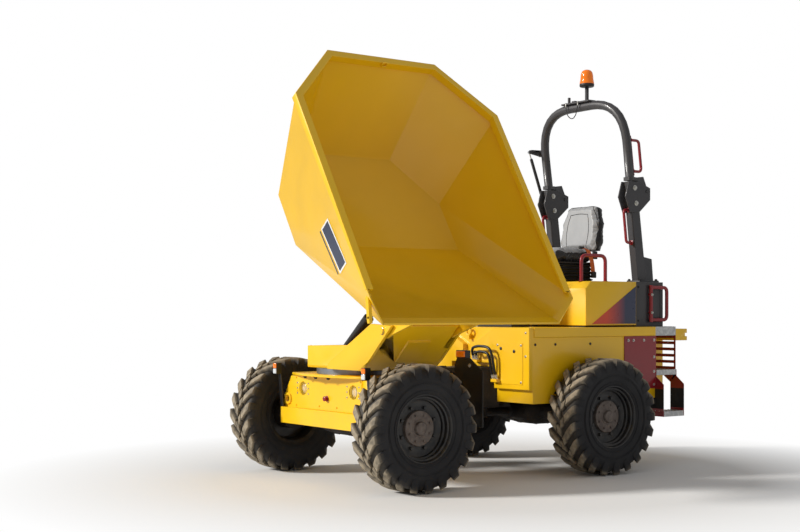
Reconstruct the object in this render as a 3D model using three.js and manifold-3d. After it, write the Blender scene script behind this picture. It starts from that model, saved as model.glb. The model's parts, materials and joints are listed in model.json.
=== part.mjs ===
// Articulated site dumper with a swivel skip, in millimetres.
// +X is forward, +Y is the machine's left and +Z is up. The skip is swivelled to the left and tipped.
import * as THREE from 'three';
import { mergeVertices } from 'three/addons/utils/BufferGeometryUtils.js';
import Module from 'manifold-3d';

const wasm = await Module();
wasm.setup();

// ---- driving dimensions -------------------------------------------------------------------------
const GAP = 0.3; // between pieces that touch
const RUNNING_GAP = 1; // between a pin and the bore that turns on it

const WHEELBASE = 1835;
const TRACK = 1730;
const TYRE_RADIUS = 455;
const TYRE_WIDTH = 300;
const RIM_RADIUS = 229; // bead seat
const RIM_FLANGE_HEIGHT = 17;
const WHEEL_SIDES = 24;
const HUB_RADIUS = 120;
const AXLE_TUBE_RADIUS = 70;
const DIFFERENTIAL_RADIUS = 115;

const BODY_WIDTH = 1380;
const BODY_REAR_OVERHANG = 785; // rear axle to the back of the body sides
const DECK_ABOVE_AXLE = 695;
const BODY_SKIRT_ABOVE_AXLE = 105;
const RAIL_HEIGHT = 75;
const BUMPER_DROP = 117;
const SHEET = 6;
const BODY_FRONT_FROM_PIVOT = 350;
const SCUTTLE_BOX_DEPTH = 40;

const SEAT_BOX_LENGTH = 576;
const SEAT_BOX_WIDTH = 1250;
const SEAT_BOX_HEIGHT = 360;
const SEAT_BOX_CHAMFER = 60;
const SEAT_BOX_SEAL = 12;
const ROPS_BASE_LENGTH = 320;

const SEAT_WIDTH = 500;
const SEAT_CUSHION_LENGTH = 470;
const SEAT_CUSHION_THICKNESS = 110;
const SEAT_SUSPENSION_HEIGHT = 170;
const SEAT_BACK_HEIGHT = 430;
const SEAT_BACK_THICKNESS = 110;
const SEAT_BACK_RAKE = THREE.MathUtils.degToRad(8);

const ROPS_SPACING = 1000; // between the two posts
const ROPS_TUBE_RADIUS = 38;
const ROPS_POST_RAKE = 0.13; // forward travel for each millimetre of rise
const ROPS_POST_HEIGHT = 850;
const ROPS_HOOP_HEIGHT = 670; // above the posts, to the tube's centre line
const ROPS_HOOP_BEND = 380;
const FOLD_PLATE_THICKNESS = 12;

const STEP_DEPTH = 150;
const STEP_LENGTH = 250;
const STEP_OUTREACH = 93;
const STEP_PLATE = 6;
const TAIL_HALF = 425;

const STEERING_WHEEL_RADIUS = 175;
const GRAB_TUBE_RADIUS = 15;

const FRONT_FRAME_WIDTH = 520;
const BUMPER_FRONT_X = 205;
const BUMPER_WIDTH = 1250;
const BUMPER_HEIGHT = 126;
const BUMPER_DEPTH = 75;
const PANEL_WIDTH = 912;
const HEADLIGHT_RADIUS = 52;
const HEADLIGHT_SPACING = 690;
const MUDGUARD_WIDTH = 330;

const TURNTABLE_THICKNESS = 20;
const SLEW_RING_RADIUS = 310;
const SLEW_RING_BORE = 225;
const SLEW_RING_HEIGHT = 45;
const SWIVEL_X = -100; // swivel axis behind the front axle
const SWIVEL_ANGLE = THREE.MathUtils.degToRad(90);
const SWIVEL_PLATE = 20;
const CHEEK_SPACING = 670;
const CHEEK_THICKNESS = 25;

const TIP_ANGLE = THREE.MathUtils.degToRad(57.2);
const TIP_PIVOT_REACH = 800; // swivel axis to tip pivot
const TIP_PIVOT_RISE = 685; // above the axles
const TIP_PIN_RADIUS = 25;
const SKIP_SHEET = 8;
const SKIP_DEPTH = 788;
const SKIP_FLOOR_BELOW_PIVOT = 87;
const SKIP_RIM_BAND = 55;

const PIVOT_PIN_RADIUS = 35;
const KNUCKLE_RADIUS = 85;
const CORD_SIDES = 8;
const HOSE_RADIUS = 11;
const HOSE_SPACING = 38;
const LEAD_RADIUS = 4;

// ---- places worked out from them ------------------------------------------------------------------
const AXLE_Z = TYRE_RADIUS;
const WHEEL_Y = TRACK / 2;
const REAR_AXLE_X = -WHEELBASE;
const PIVOT_X = -WHEELBASE / 2;
const DECK_Z = AXLE_Z + DECK_ABOVE_AXLE;
const SKIRT_Z = AXLE_Z + BODY_SKIRT_ABOVE_AXLE;
const BODY_HALF = BODY_WIDTH / 2;
const BODY_FRONT_X = PIVOT_X - BODY_FRONT_FROM_PIVOT;
const BODY_REAR_X = REAR_AXLE_X - BODY_REAR_OVERHANG;
const SEAT_BOX_REAR_X = BODY_REAR_X + 154;
const SEAT_BOX_FRONT_X = SEAT_BOX_REAR_X + SEAT_BOX_LENGTH;
const SEAT_BOX_Z = DECK_Z + SEAT_BOX_SEAL;
const SEAT_BOX_TOP_Z = SEAT_BOX_Z + SEAT_BOX_HEIGHT;
const ROPS_BASE_REAR_X = SEAT_BOX_REAR_X - ROPS_BASE_LENGTH;
const ROPS_POST_X = SEAT_BOX_REAR_X - 165;
const ROPS_POST_FOOT_Z = SEAT_BOX_TOP_Z;
const ROPS_SPLIT_Z = ROPS_POST_FOOT_Z + ROPS_POST_HEIGHT;
const TREAD_REAR_X = BODY_REAR_X - STEP_LENGTH;
const FRAME_TOP_Z = AXLE_Z + 330;
const PANEL_FRONT_X = BUMPER_FRONT_X - 32;
const FRAME_FRONT_X = PANEL_FRONT_X - 8 - GAP;
const TURNTABLE_Z = FRAME_TOP_Z + TURNTABLE_THICKNESS;
const SLEW_TOP_Z = TURNTABLE_Z + SLEW_RING_HEIGHT;
const TIP_PIVOT_Z = AXLE_Z + TIP_PIVOT_RISE;
const ropsPostX = (z) => ROPS_POST_X + (z - ROPS_POST_FOOT_Z) * ROPS_POST_RAKE;

// ---- finishes -------------------------------------------------------------------------------------
const finish = (color, roughness, metalness = 0) =>
  new THREE.MeshStandardMaterial({ color, roughness, metalness });
const YELLOW = finish(0xf5b70a, 0.35);
const GREY = finish(0x3c3b3e, 0.45);
const BLACK = finish(0x17171a, 0.55);
const RED = finish(0xa80f20, 0.4);
const RUBBER = finish(0x1c1c1d, 0.85);
const TREADPLATE = finish(0xb9bcbf, 0.4, 0.8);
const STEEL = finish(0xc4c7ca, 0.25, 0.9);
const CASTING = finish(0x26262a, 0.65, 0.4);
const AMBER = finish(0xff8a00, 0.2);
const LENS = finish(0xe9edf0, 0.15);
const SEAT_CLOTH = finish(0x9a9ca1, 0.8);

// ---- shape helpers --------------------------------------------------------------------------------
function toSolid(geometry) {
  const plain = geometry.clone();
  plain.deleteAttribute('normal');
  plain.deleteAttribute('uv');
  const merged = mergeVertices(plain, 1e-3);
  const triVerts = Uint32Array.from(merged.index.array);
  const vertProperties = Float32Array.from(merged.attributes.position.array);
  if (signedVolume(vertProperties, triVerts) < 0) triVerts.reverse();
  return new wasm.Manifold(new wasm.Mesh({ numProp: 3, vertProperties, triVerts }));
}

function signedVolume(vertices, triangles) {
  const corner = (i) => new THREE.Vector3().fromArray(vertices, 3 * triangles[i]);
  let volume = 0;
  for (let i = 0; i < triangles.length; i += 3) {
    volume += corner(i).dot(corner(i + 1).cross(corner(i + 2)));
  }
  return volume;
}

function toGeometry(solid) {
  const { vertProperties, triVerts } = solid.getMesh();
  const geometry = new THREE.BufferGeometry();
  geometry.setAttribute('position', new THREE.BufferAttribute(vertProperties, 3));
  geometry.setIndex(new THREE.BufferAttribute(triVerts, 1));
  geometry.computeVertexNormals();
  return geometry;
}

const join = (...solids) => solids.reduce((whole, solid) => whole.add(solid));
const cut = (body, ...tools) => tools.reduce((whole, tool) => whole.subtract(tool), body);

function block([x0, x1], [y0, y1], [z0, z1]) {
  const geometry = new THREE.BoxGeometry(Math.abs(x1 - x0), Math.abs(y1 - y0), Math.abs(z1 - z0));
  return toSolid(geometry.translate((x0 + x1) / 2, (y0 + y1) / 2, (z0 + z1) / 2));
}

function extrude(points, depth) {
  const shape = new THREE.Shape(points.map(([a, b]) => new THREE.Vector2(a, b)));
  return new THREE.ExtrudeGeometry(shape, { depth, bevelEnabled: false, curveSegments: 6 });
}

// An outline of [x, y] points raised from z0 to z1.
const raised = (points, [z0, z1]) => toSolid(extrude(points, z1 - z0).translate(0, 0, z0));

// An outline of [x, z] points drawn out from y0 to y1.
function acrossY(points, [y0, y1]) {
  return toSolid(extrude(points, y1 - y0).rotateX(Math.PI / 2).translate(0, y1, 0));
}

// An outline of [y, z] points drawn out from x0 to x1.
function alongX(points, [x0, x1]) {
  const geometry = extrude(points, x1 - x0).rotateX(Math.PI / 2).rotateZ(Math.PI / 2);
  return toSolid(geometry.translate(x0, 0, 0));
}

function rod(from, to, radius, sides = 16, endRadius = radius) {
  const start = new THREE.Vector3(...from);
  const run = new THREE.Vector3(...to).sub(start);
  const geometry = new THREE.CylinderGeometry(endRadius, radius, run.length(), sides);
  const turn = new THREE.Quaternion().setFromUnitVectors(
    new THREE.Vector3(0, 1, 0), run.clone().normalize());
  geometry.applyQuaternion(turn);
  return toSolid(geometry.translate(...start.addScaledVector(run, 0.5)));
}

// A tube through the given corners, each rounded by the bend distance.
function bentTube(corners, radius, bend, steps, sides = 12) {
  const points = corners.map((corner) => new THREE.Vector3(...corner));
  const path = new THREE.CurvePath();
  let last = points[0];
  for (let i = 1; i < points.length - 1; i += 1) {
    const before = points[i].clone().add(points[i - 1].clone().sub(points[i]).setLength(bend));
    const after = points[i].clone().add(points[i + 1].clone().sub(points[i]).setLength(bend));
    path.add(new THREE.LineCurve3(last, before));
    path.add(new THREE.QuadraticBezierCurve3(before, points[i], after));
    last = after;
  }
  path.add(new THREE.LineCurve3(last, points.at(-1)));
  return sweep(path, radius, steps, sides);
}

function sweep(path, radius, steps, sides) {
  const section = new THREE.Shape();
  for (let i = 0; i < sides; i += 1) {
    const angle = (2 * Math.PI * i) / sides;
    const place = [radius * Math.cos(angle), radius * Math.sin(angle)];
    if (i === 0) section.moveTo(...place);
    else section.lineTo(...place);
  }
  return toSolid(new THREE.ExtrudeGeometry(section, { steps, extrudePath: path }));
}

function cord(points, radius, steps) {
  const path = new THREE.CatmullRomCurve3(points.map((point) => new THREE.Vector3(...point)));
  return sweep(path, radius, steps, CORD_SIDES);
}

// A profile of [radius, y] points turned about the Y axis.
function turned(profile, sides = WHEEL_SIDES) {
  const points = profile.map(([radius, y]) => new THREE.Vector2(radius, y));
  return toSolid(new THREE.LatheGeometry([...points, points[0].clone()], sides));
}

const moved = (solid, x, y, z) => solid.translate([x, y, z]);
const mirroredY = (solid) => solid.mirror([0, 1, 0]);
const bothSides = (solid) => join(solid, mirroredY(solid));

function add(parent, name, solid, material) {
  const mesh = new THREE.Mesh(toGeometry(solid), material);
  mesh.name = name;
  parent.add(mesh);
  return mesh;
}

function subgroup(parent, x = 0, y = 0, z = 0) {
  const child = new THREE.Group();
  child.position.set(x, y, z);
  parent.add(child);
  return child;
}

// ---- wheels and axles -----------------------------------------------------------------------------
const WHEEL_DISC_OUT = 20; // wheel's middle plane to the inner face of its disc
const DISC_THICKNESS = 14;
const TYRE_SHOULDER = 55;

function tyreSolid() {
  const half = TYRE_WIDTH / 2;
  const crown = TYRE_RADIUS / Math.cos(Math.PI / WHEEL_SIDES);
  const bead = RIM_RADIUS + GAP;
  const rimHalf = half - 22;
  const side = (RIM_RADIUS + TYRE_RADIUS) / 2;
  return turned([
    [bead, -rimHalf + 14], [bead + RIM_FLANGE_HEIGHT + GAP, -rimHalf - GAP], [side, -half],
    [crown - TYRE_SHOULDER, -half + 6], [crown - 12, -half + 40], [crown, -half + 80],
    [crown, half - 80], [crown - 12, half - 40], [crown - TYRE_SHOULDER, half - 6],
    [side, half], [bead + RIM_FLANGE_HEIGHT + GAP, rimHalf + GAP], [bead, rimHalf - 14],
  ]).rotate([0, 180 / WHEEL_SIDES, 0]);
}

function rimSolid() {
  const rimHalf = TYRE_WIDTH / 2 - 22;
  const well = RIM_RADIUS - 45;
  const skin = 7;
  const lip = RIM_RADIUS + RIM_FLANGE_HEIGHT - GAP;
  const barrel = turned([
    [lip, -rimHalf], [RIM_RADIUS - GAP, -rimHalf + 14], [well, -rimHalf + 52], [well, 10],
    [RIM_RADIUS - GAP, 40], [RIM_RADIUS - GAP, rimHalf - 14], [lip, rimHalf], [lip - skin, rimHalf + 3],
    [RIM_RADIUS - skin - 3, rimHalf - 10], [RIM_RADIUS - skin - 3, 44], [well - skin, 16],
    [well - skin, -rimHalf + 48], [RIM_RADIUS - skin - 3, -rimHalf + 10], [lip - skin, -rimHalf - 3],
  ]);
  const outer = WHEEL_DISC_OUT + DISC_THICKNESS;
  const disc = rod([0, WHEEL_DISC_OUT, 0], [0, outer, 0], RIM_RADIUS - skin, WHEEL_SIDES);
  const hub = rod([0, outer - 1, 0], [0, outer + 26, 0], HUB_RADIUS, WHEEL_SIDES, HUB_RADIUS - 12);
  const cap = rod([0, outer + 20, 0], [0, outer + 60, 0], 52, 16, 44);
  return join(barrel, disc, hub, cap).rotate([0, 180 / WHEEL_SIDES, 0]);
}

function addWheel(parent, name, x, side) {
  const wheel = subgroup(parent, x, side * WHEEL_Y, AXLE_Z);
  wheel.rotation.z = side > 0 ? 0 : Math.PI;
  add(wheel, `tyre_${name}`, tyreSolid(), RUBBER);
  add(wheel, `rim_${name}`, rimSolid(), BLACK);
}

function axleSolid(x, padTop, direction) {
  const end = WHEEL_Y + WHEEL_DISC_OUT - GAP;
  const drumInner = WHEEL_Y - TYRE_WIDTH / 2 + 15;
  const tube = rod([x, -end, AXLE_Z], [x, end, AXLE_Z], AXLE_TUBE_RADIUS, 12);
  const drum = rod([x, drumInner, AXLE_Z], [x, end, AXLE_Z], HUB_RADIUS, 16);
  const taper = rod([x, 230, AXLE_Z], [x, 430, AXLE_Z], 100, 12, AXLE_TUBE_RADIUS);
  const head = rod([x, -95, AXLE_Z], [x, 95, AXLE_Z], DIFFERENTIAL_RADIUS, 16);
  const shell = rod([x, 90, AXLE_Z], [x, 235, AXLE_Z], DIFFERENTIAL_RADIUS, 16, 100);
  const pad = block([x - 70, x + 70], [180, 250], [AXLE_Z, padTop - GAP]);
  const half = join(drum, taper, shell, pad);
  return join(tube, head, bothSides(half), propshaft(x, direction));
}

const PROPSHAFT_STOP = 55; // left free on each side of the pivot

function propshaft(axleX, direction) {
  const start = axleX + direction * (DIFFERENTIAL_RADIUS + 100);
  const stop = PIVOT_X - direction * PROPSHAFT_STOP;
  const nose = rod([start - direction * 120, 0, AXLE_Z], [start, 0, AXLE_Z], 85, 16, 55);
  const flange = rod([start - direction, 0, AXLE_Z], [start + direction * 22, 0, AXLE_Z], 66, 16);
  const tube = rod([start, 0, AXLE_Z], [stop, 0, AXLE_Z], 32, 12);
  const yoke = rod([stop - direction * 60, 0, AXLE_Z], [stop, 0, AXLE_Z], 44, 12);
  return join(nose, tube, flange, yoke);
}

// ---- rear chassis ---------------------------------------------------------------------------------
const LUG_THICKNESS = 40;
const KNUCKLE_BOTTOM_Z = AXLE_Z + 105;
const KNUCKLE_TOP_Z = AXLE_Z + 330;
const RAIL_Z = AXLE_Z + 125;
const RAIL_Y = 250;

function rearFrameSolid() {
  const railTop = RAIL_Z + 120;
  const rear = BODY_REAR_X + SHEET + 4;
  const rail = block([rear, BODY_FRONT_X - 20], [RAIL_Y - 40, RAIL_Y], [RAIL_Z, railTop]);
  const noseBack = BODY_FRONT_X - 30;
  const noseFront = PIVOT_X - KNUCKLE_RADIUS - 25;
  const low = KNUCKLE_BOTTOM_Z - LUG_THICKNESS - 6;
  const high = KNUCKLE_TOP_Z + LUG_THICKNESS + 6;
  const nose = raised([
    [noseBack, -RAIL_Y], [noseBack, RAIL_Y], [noseFront, 110], [noseFront, -110],
  ], [low, high]);
  const lug = (z) => join(
    block([noseFront - 10, PIVOT_X], [-75, 75], [z, z + LUG_THICKNESS]),
    rod([PIVOT_X, 0, z], [PIVOT_X, 0, z + LUG_THICKNESS], 75, 20));
  const pin = rod([PIVOT_X, 0, low - 12], [PIVOT_X, 0, high + 12], PIVOT_PIN_RADIUS, 20);
  const reach = BODY_HALF - SHEET - GAP;
  const crosses = [rear, REAR_AXLE_X + 215, BODY_FRONT_X - 75].map((x) =>
    block([x, x + 50], [-reach, reach], [RAIL_Z, railTop]));
  const ram = steerBracket(PIVOT_X - STEER_BASE_BACK);
  return join(bothSides(rail), nose, lug(low), lug(KNUCKLE_TOP_Z + 6), pin, ...crosses, ram);
}

// Upper body: side walls, front and back walls and the deck, open underneath.
function rearBodySolid() {
  const wall = block([BODY_REAR_X, BODY_FRONT_X], [-BODY_HALF, BODY_HALF], [SKIRT_Z, DECK_Z]);
  const inside = block(
    [BODY_REAR_X + SHEET, BODY_FRONT_X - SHEET], [-BODY_HALF + SHEET, BODY_HALF - SHEET],
    [SKIRT_Z - 1, DECK_Z - SHEET]);
  const rail = block(
    [BODY_REAR_X, BODY_FRONT_X - 8], [BODY_HALF - 1, BODY_HALF + 9], [DECK_Z - RAIL_HEIGHT, DECK_Z]);
  const tunnel = block(
    [BODY_FRONT_X - SHEET - 1, BODY_FRONT_X + 1], [-RAIL_Y - 10, RAIL_Y + 10],
    [SKIRT_Z - 1, KNUCKLE_TOP_Z + LUG_THICKNESS + 12]);
  const back = block(
    [BODY_REAR_X - 1, BODY_REAR_X + SHEET + 1], [-RAIL_Y - 60, RAIL_Y + 60], [SKIRT_Z - 1, AXLE_Z + 200]);
  const shell = cut(join(wall, bothSides(rail)), inside, tunnel, back);
  const boxes = join(scuttleBox(5, BODY_HALF), mirroredY(scuttleBox(120, BODY_HALF)));
  return join(shell, boxes, hoseFittingsSolid(), tailSolid());
}

// Boxes on the front of the body, one each side of the articulation, with a cut-off inner corner.
function scuttleBox(inner, outer) {
  const low = AXLE_Z + 212;
  const high = DECK_Z;
  const chamfer = [[inner, high - 135], [inner + 229, high - 19]];
  const step = high - 282;
  const outline = [
    [inner, step], [RAIL_Y + 20, step], [RAIL_Y + 20, low], [outer, low], [outer, high],
    [inner + 229, high], ...chamfer.reverse(),
  ];
  return alongX(outline, [BODY_FRONT_X - 1, BODY_FRONT_X + SCUTTLE_BOX_DEPTH]);
}

// Middle of the tail, between the steps and under the bumper.
function tailSolid() {
  const front = BODY_REAR_X + 1;
  const rear = TREAD_REAR_X - 130;
  const low = SKIRT_Z + 60;
  const bumperLow = DECK_Z - BUMPER_DROP - GAP;
  const half = TAIL_HALF;
  const shell = join(
    block([TREAD_REAR_X, front], [-half, half], [low, DECK_Z - SHEET - GAP]),
    block([rear, TREAD_REAR_X + 1], [-half, half], [low, bumperLow]));
  const slots = [];
  for (let z = low + 70; z < bumperLow - 80; z += 45) {
    slots.push(block([rear - 1, rear + 14], [-half + 80, half - 80], [z, z + 22]));
  }
  return cut(shell, ...slots);
}

function rearBumperSolid() {
  const front = TREAD_REAR_X - GAP;
  const rear = front - 140;
  const low = DECK_Z - BUMPER_DROP;
  const beam = block([rear, front], [-BODY_HALF, BODY_HALF], [low, DECK_Z - 19]);
  const notch = block([rear - 1, rear + 24], [BODY_HALF - 30, BODY_HALF + 1], [low + 35, low + 62]);
  const hitch = block([rear - 70, rear + 1], [-90, 90], [low - 20, low + 110]);
  const jaw = block([rear - 71, rear - 20], [-91, 91], [low + 15, low + 75]);
  const pinHole = rod([rear - 40, 0, low - 30], [rear - 40, 0, low + 130], 16);
  return cut(join(beam, hitch), notch, mirroredY(notch), jaw, pinHole);
}

// Chequered deck over the steps, turned down at its outer edge.
function rearDeckSolid() {
  const front = BODY_REAR_X - GAP;
  const top = block([TREAD_REAR_X, front], [-BODY_HALF, BODY_HALF], [DECK_Z - SHEET, DECK_Z]);
  const edge = block(
    [TREAD_REAR_X, front], [BODY_HALF - SHEET, BODY_HALF], [DECK_Z - RAIL_HEIGHT + GAP, DECK_Z]);
  return join(top, bothSides(edge));
}

// ---- steps ----------------------------------------------------------------------------------------
const STEP_MIDDLE_Z = DECK_Z - 360;
const STEP_LOW_Z = DECK_Z - 700;
const STEP_LIP = 44;
const STEP_OUT = BODY_HALF + STEP_OUTREACH;

// Side plate that kicks outwards below the middle tread and carries the bottom one.
function stringer(x0, x1) {
  const low = STEP_LOW_Z - STEP_LIP;
  const bend = STEP_MIDDLE_Z - 54;
  const outline = [
    [STEP_OUT - STEP_DEPTH, low], [STEP_OUT, low], [STEP_OUT, bend - 64], [BODY_HALF + 10, bend],
    [BODY_HALF + 10, STEP_MIDDLE_Z], [BODY_HALF - 135, STEP_MIDDLE_Z],
    [BODY_HALF - 135, bend], [STEP_OUT - STEP_DEPTH, bend - 54],
  ];
  return alongX(outline, [x0, x1]);
}

// Slotted plate behind the treads, from the deck down to the middle one, and the two side plates.
function stepFrameSolid() {
  const front = BODY_REAR_X - GAP;
  const rear = TREAD_REAR_X;
  const top = DECK_Z - RAIL_HEIGHT - GAP;
  const plate = [rear, rear + STEP_PLATE];
  const back = block(plate, [TAIL_HALF + GAP, BODY_HALF], [STEP_MIDDLE_Z - STEP_LIP, top]);
  const slots = [];
  const pitch = (top - STEP_MIDDLE_Z) / 5.4;
  for (let i = 1; i < 6; i += 1) {
    const z = STEP_MIDDLE_Z - 15 + i * pitch;
    const span = [TAIL_HALF + 35, BODY_HALF - 18];
    slots.push(block([rear - 1, rear + STEP_PLATE + 1], span, [z - 14, z + 14]));
  }
  const plates = join(stringer(front - STEP_PLATE, front), stringer(...plate));
  return join(cut(back, ...slots), plates);
}

function stepsSolid() {
  return join(stepFrameSolid(), stepSkirtSolid(), stepTreadsSolid());
}

// Skirt plate between the wheel and the steps.
function stepSkirtSolid() {
  const front = BODY_REAR_X + 365;
  const rear = BODY_REAR_X - GAP - STEP_PLATE;
  const low = STEP_MIDDLE_Z - 150;
  const outline = [
    [rear, DECK_Z - RAIL_HEIGHT - GAP], [front, DECK_Z - RAIL_HEIGHT - GAP],
    [front, STEP_MIDDLE_Z + 20], [front - 180, low], [rear, low],
  ];
  return acrossY(outline, [BODY_HALF + GAP, BODY_HALF + GAP + STEP_PLATE]);
}

function stepTreadsSolid() {
  const span = [TREAD_REAR_X + 1, BODY_REAR_X - GAP - 1];
  const middle = block(
    span, [BODY_HALF - 180, BODY_HALF + 9], [STEP_MIDDLE_Z - STEP_LIP, STEP_MIDDLE_Z]);
  const low = block(
    span, [STEP_OUT - STEP_DEPTH + 1, STEP_OUT - 1], [STEP_LOW_Z - STEP_LIP, STEP_LOW_Z]);
  return join(middle, low);
}

// ---- operator's place -----------------------------------------------------------------------------
const HOOD_HALF = SEAT_BOX_WIDTH / 2;

function seatBoxSolid() {
  const c = SEAT_BOX_CHAMFER;
  const f = SEAT_BOX_FRONT_X;
  const r = SEAT_BOX_REAR_X + GAP;
  const z0 = SEAT_BOX_Z;
  const z1 = SEAT_BOX_TOP_Z;
  const hood = acrossY([[r, z0], [f, z0], [f, z1 - c], [f - c, z1], [r, z1]], [-HOOD_HALF, HOOD_HALF]);
  const inner = HOOD_HALF - SHEET;
  const inside = block([r + SHEET, f - SHEET], [-inner, inner], [z0 - 1, z1 - c - SHEET]);
  const seal = block([r, f - 10], [-HOOD_HALF + 20, HOOD_HALF - 20], [DECK_Z + GAP, z0 + 1]);
  const opening = block([r + 60, f - 70], [-HOOD_HALF + 80, HOOD_HALF - 80], [DECK_Z - 1, z0 + 5]);
  return join(cut(hood, inside), cut(seal, opening));
}

function ropsBaseSolid() {
  const span = [ROPS_BASE_REAR_X, SEAT_BOX_REAR_X];
  const tower = block(span, [-HOOD_HALF, HOOD_HALF], [DECK_Z + GAP, SEAT_BOX_TOP_Z]);
  const inside = block(
    [span[0] + 10, span[1] - 10], [-HOOD_HALF + 10, HOOD_HALF - 10], [DECK_Z - 1, SEAT_BOX_TOP_Z - 10]);
  const recess = block(
    [span[0] + 30, span[0] + 130], [HOOD_HALF - 9, HOOD_HALF + 1], [SEAT_BOX_Z + 40, SEAT_BOX_TOP_Z - 50]);
  const window = block(
    [span[0] - 1, span[0] + 11], [-HOOD_HALF + 140, HOOD_HALF - 140], [DECK_Z + 60, SEAT_BOX_TOP_Z - 70]);
  const posts = join(moved(ropsPostSolid(), 0, POST_Y, 0), moved(ropsPostSolid(), 0, -POST_Y, 0));
  return join(cut(tower, inside, recess, mirroredY(recess), window), posts);
}

function engineSolid() {
  const x = [SEAT_BOX_REAR_X + 60, SEAT_BOX_FRONT_X - 40];
  return block(x, [-RAIL_Y + 46, RAIL_Y - 46], [AXLE_Z + 190, DECK_Z - SHEET - GAP]);
}

const SEAT_FRONT_X = SEAT_BOX_REAR_X + 560;
const CUSHION_Z = SEAT_BOX_TOP_Z + SEAT_SUSPENSION_HEIGHT + GAP;
const CUSHION_TOP_Z = CUSHION_Z + SEAT_CUSHION_THICKNESS;

function seatSuspensionSolid() {
  const x = [SEAT_FRONT_X - SEAT_CUSHION_LENGTH + 10, SEAT_FRONT_X - 40];
  const half = SEAT_WIDTH / 2;
  const base = SEAT_BOX_TOP_Z + GAP;
  const top = CUSHION_Z - GAP;
  const folds = 4;
  const rise = (top - base) / folds;
  const outline = [];
  for (let i = 0; i < folds; i += 1) {
    outline.push([half - 34, base + i * rise], [half - 6, base + (i + 0.5) * rise]);
  }
  outline.push([half - 34, top]);
  const mirror = outline.map(([y, z]) => [-y, z]).reverse();
  return alongX([...outline, ...mirror], x);
}

function cushionSolid() {
  const x1 = SEAT_FRONT_X;
  const x0 = x1 - SEAT_CUSHION_LENGTH;
  const outline = [
    [x0, CUSHION_Z], [x1 - 30, CUSHION_Z], [x1, CUSHION_Z + 40], [x1 - 20, CUSHION_TOP_Z - 10],
    [x1 - 70, CUSHION_TOP_Z], [x0, CUSHION_TOP_Z - 20],
  ];
  return acrossY(outline, [-SEAT_WIDTH / 2, SEAT_WIDTH / 2]);
}

function backrestSolid() {
  const half = SEAT_WIDTH / 2;
  const h = SEAT_BACK_HEIGHT;
  const outline = [
    [-half + 30, 0], [half - 30, 0], [half, 90], [half - 10, h * 0.62], [half - 75, h - 20],
    [half - 110, h], [-half + 110, h], [-half + 75, h - 20], [-half + 10, h * 0.62], [-half, 90],
  ];
  const pad = alongX(outline, [-SEAT_BACK_THICKNESS, 0]);
  const leaning = pad.rotate([0, -THREE.MathUtils.radToDeg(SEAT_BACK_RAKE), 0]);
  const hinge = block([-60, -12], [-half + 60, half - 60], [-45, 12]);
  const x = SEAT_FRONT_X - SEAT_CUSHION_LENGTH - GAP;
  return moved(join(leaning, hinge), x, 0, CUSHION_TOP_Z - 20);
}

const DASH_FRONT_X = PIVOT_X - 540;
const DASH_TOP_Z = DECK_Z + 560;

function dashSolid() {
  const x = DASH_FRONT_X;
  const outline = [
    [x, DECK_Z + GAP], [x, DASH_TOP_Z - 120], [x - 60, DASH_TOP_Z], [x - 150, DASH_TOP_Z - 60],
    [x - 130, DECK_Z + GAP],
  ];
  return acrossY(outline, [-220, 220]);
}

const COLUMN_TILT = 32; // degrees from upright
const WHEEL_HUB = { x: DASH_FRONT_X - 235, z: DASH_TOP_Z + 150 };

function steeringColumnSolid() {
  const lean = THREE.MathUtils.degToRad(COLUMN_TILT);
  const reach = 265;
  const foot = [WHEEL_HUB.x + reach * Math.sin(lean), 0, WHEEL_HUB.z - reach * Math.cos(lean)];
  return rod(foot, [WHEEL_HUB.x, 0, WHEEL_HUB.z], 26, 12);
}

function steeringWheelSolid() {
  const ring = [];
  for (let i = 0; i < 8; i += 1) {
    const angle = (2 * Math.PI * i) / 8;
    ring.push([STEERING_WHEEL_RADIUS + 14 * Math.cos(angle), 14 * Math.sin(angle)]);
  }
  const rim = turned(ring, 24).rotate([90, 0, 0]);
  const spokes = [90, 210, 330].map((angle) => {
    const turn = THREE.MathUtils.degToRad(angle);
    const end = [STEERING_WHEEL_RADIUS * Math.cos(turn), STEERING_WHEEL_RADIUS * Math.sin(turn), 0];
    return rod([0, 0, -14], end, 9, 8);
  });
  const boss = rod([0, 0, -28], [0, 0, -4], 36, 16);
  const wheel = join(rim, boss, ...spokes).rotate([0, -COLUMN_TILT, 0]);
  const lean = THREE.MathUtils.degToRad(COLUMN_TILT);
  const clear = 28 + GAP;
  return moved(wheel, WHEEL_HUB.x - clear * Math.sin(lean), 0, WHEEL_HUB.z + clear * Math.cos(lean));
}

function leversSolid() {
  const top = DASH_TOP_Z - 60;
  const lever = (y, reach) => {
    const foot = [DASH_FRONT_X - 95, y, top];
    const tip = [DASH_FRONT_X - 95 - reach, y, top + 150];
    return join(rod(foot, tip, 6, 8), rod(tip, [tip[0] - 8, y, tip[2] + 40], 15, 10));
  };
  const gate = block([DASH_FRONT_X - 118, DASH_FRONT_X - 76], [-205, -85], [top - 20, top + 44]);
  return join(gate, lever(-110, 30), lever(-145, 34), lever(-180, 38));
}

function pedalsSolid() {
  const base = DECK_Z + GAP;
  const pedal = (y) => {
    const outline = [
      [DASH_FRONT_X - 230, base], [DASH_FRONT_X - 150, base], [DASH_FRONT_X - 145, base + 60],
      [DASH_FRONT_X - 158, base + 60], [DASH_FRONT_X - 238, base + 10],
    ];
    return acrossY(outline, [y - 40, y + 40]);
  };
  const footPlate = block(
    [DASH_FRONT_X - 232, DASH_FRONT_X - 120], [-190, 190], [base, base + 5]);
  return join(footPlate, pedal(-150), pedal(150));
}

// ---- roll-over frame ------------------------------------------------------------------------------
const POST_Y = ROPS_SPACING / 2;
const POST_HALF = 36;
const FOLD_X = ropsPostX(ROPS_SPLIT_Z) - 150;
const FOLD_Z = ROPS_SPLIT_Z - 85;
const FOLD_PLATE_Y = POST_HALF + FOLD_PLATE_THICKNESS;

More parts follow.
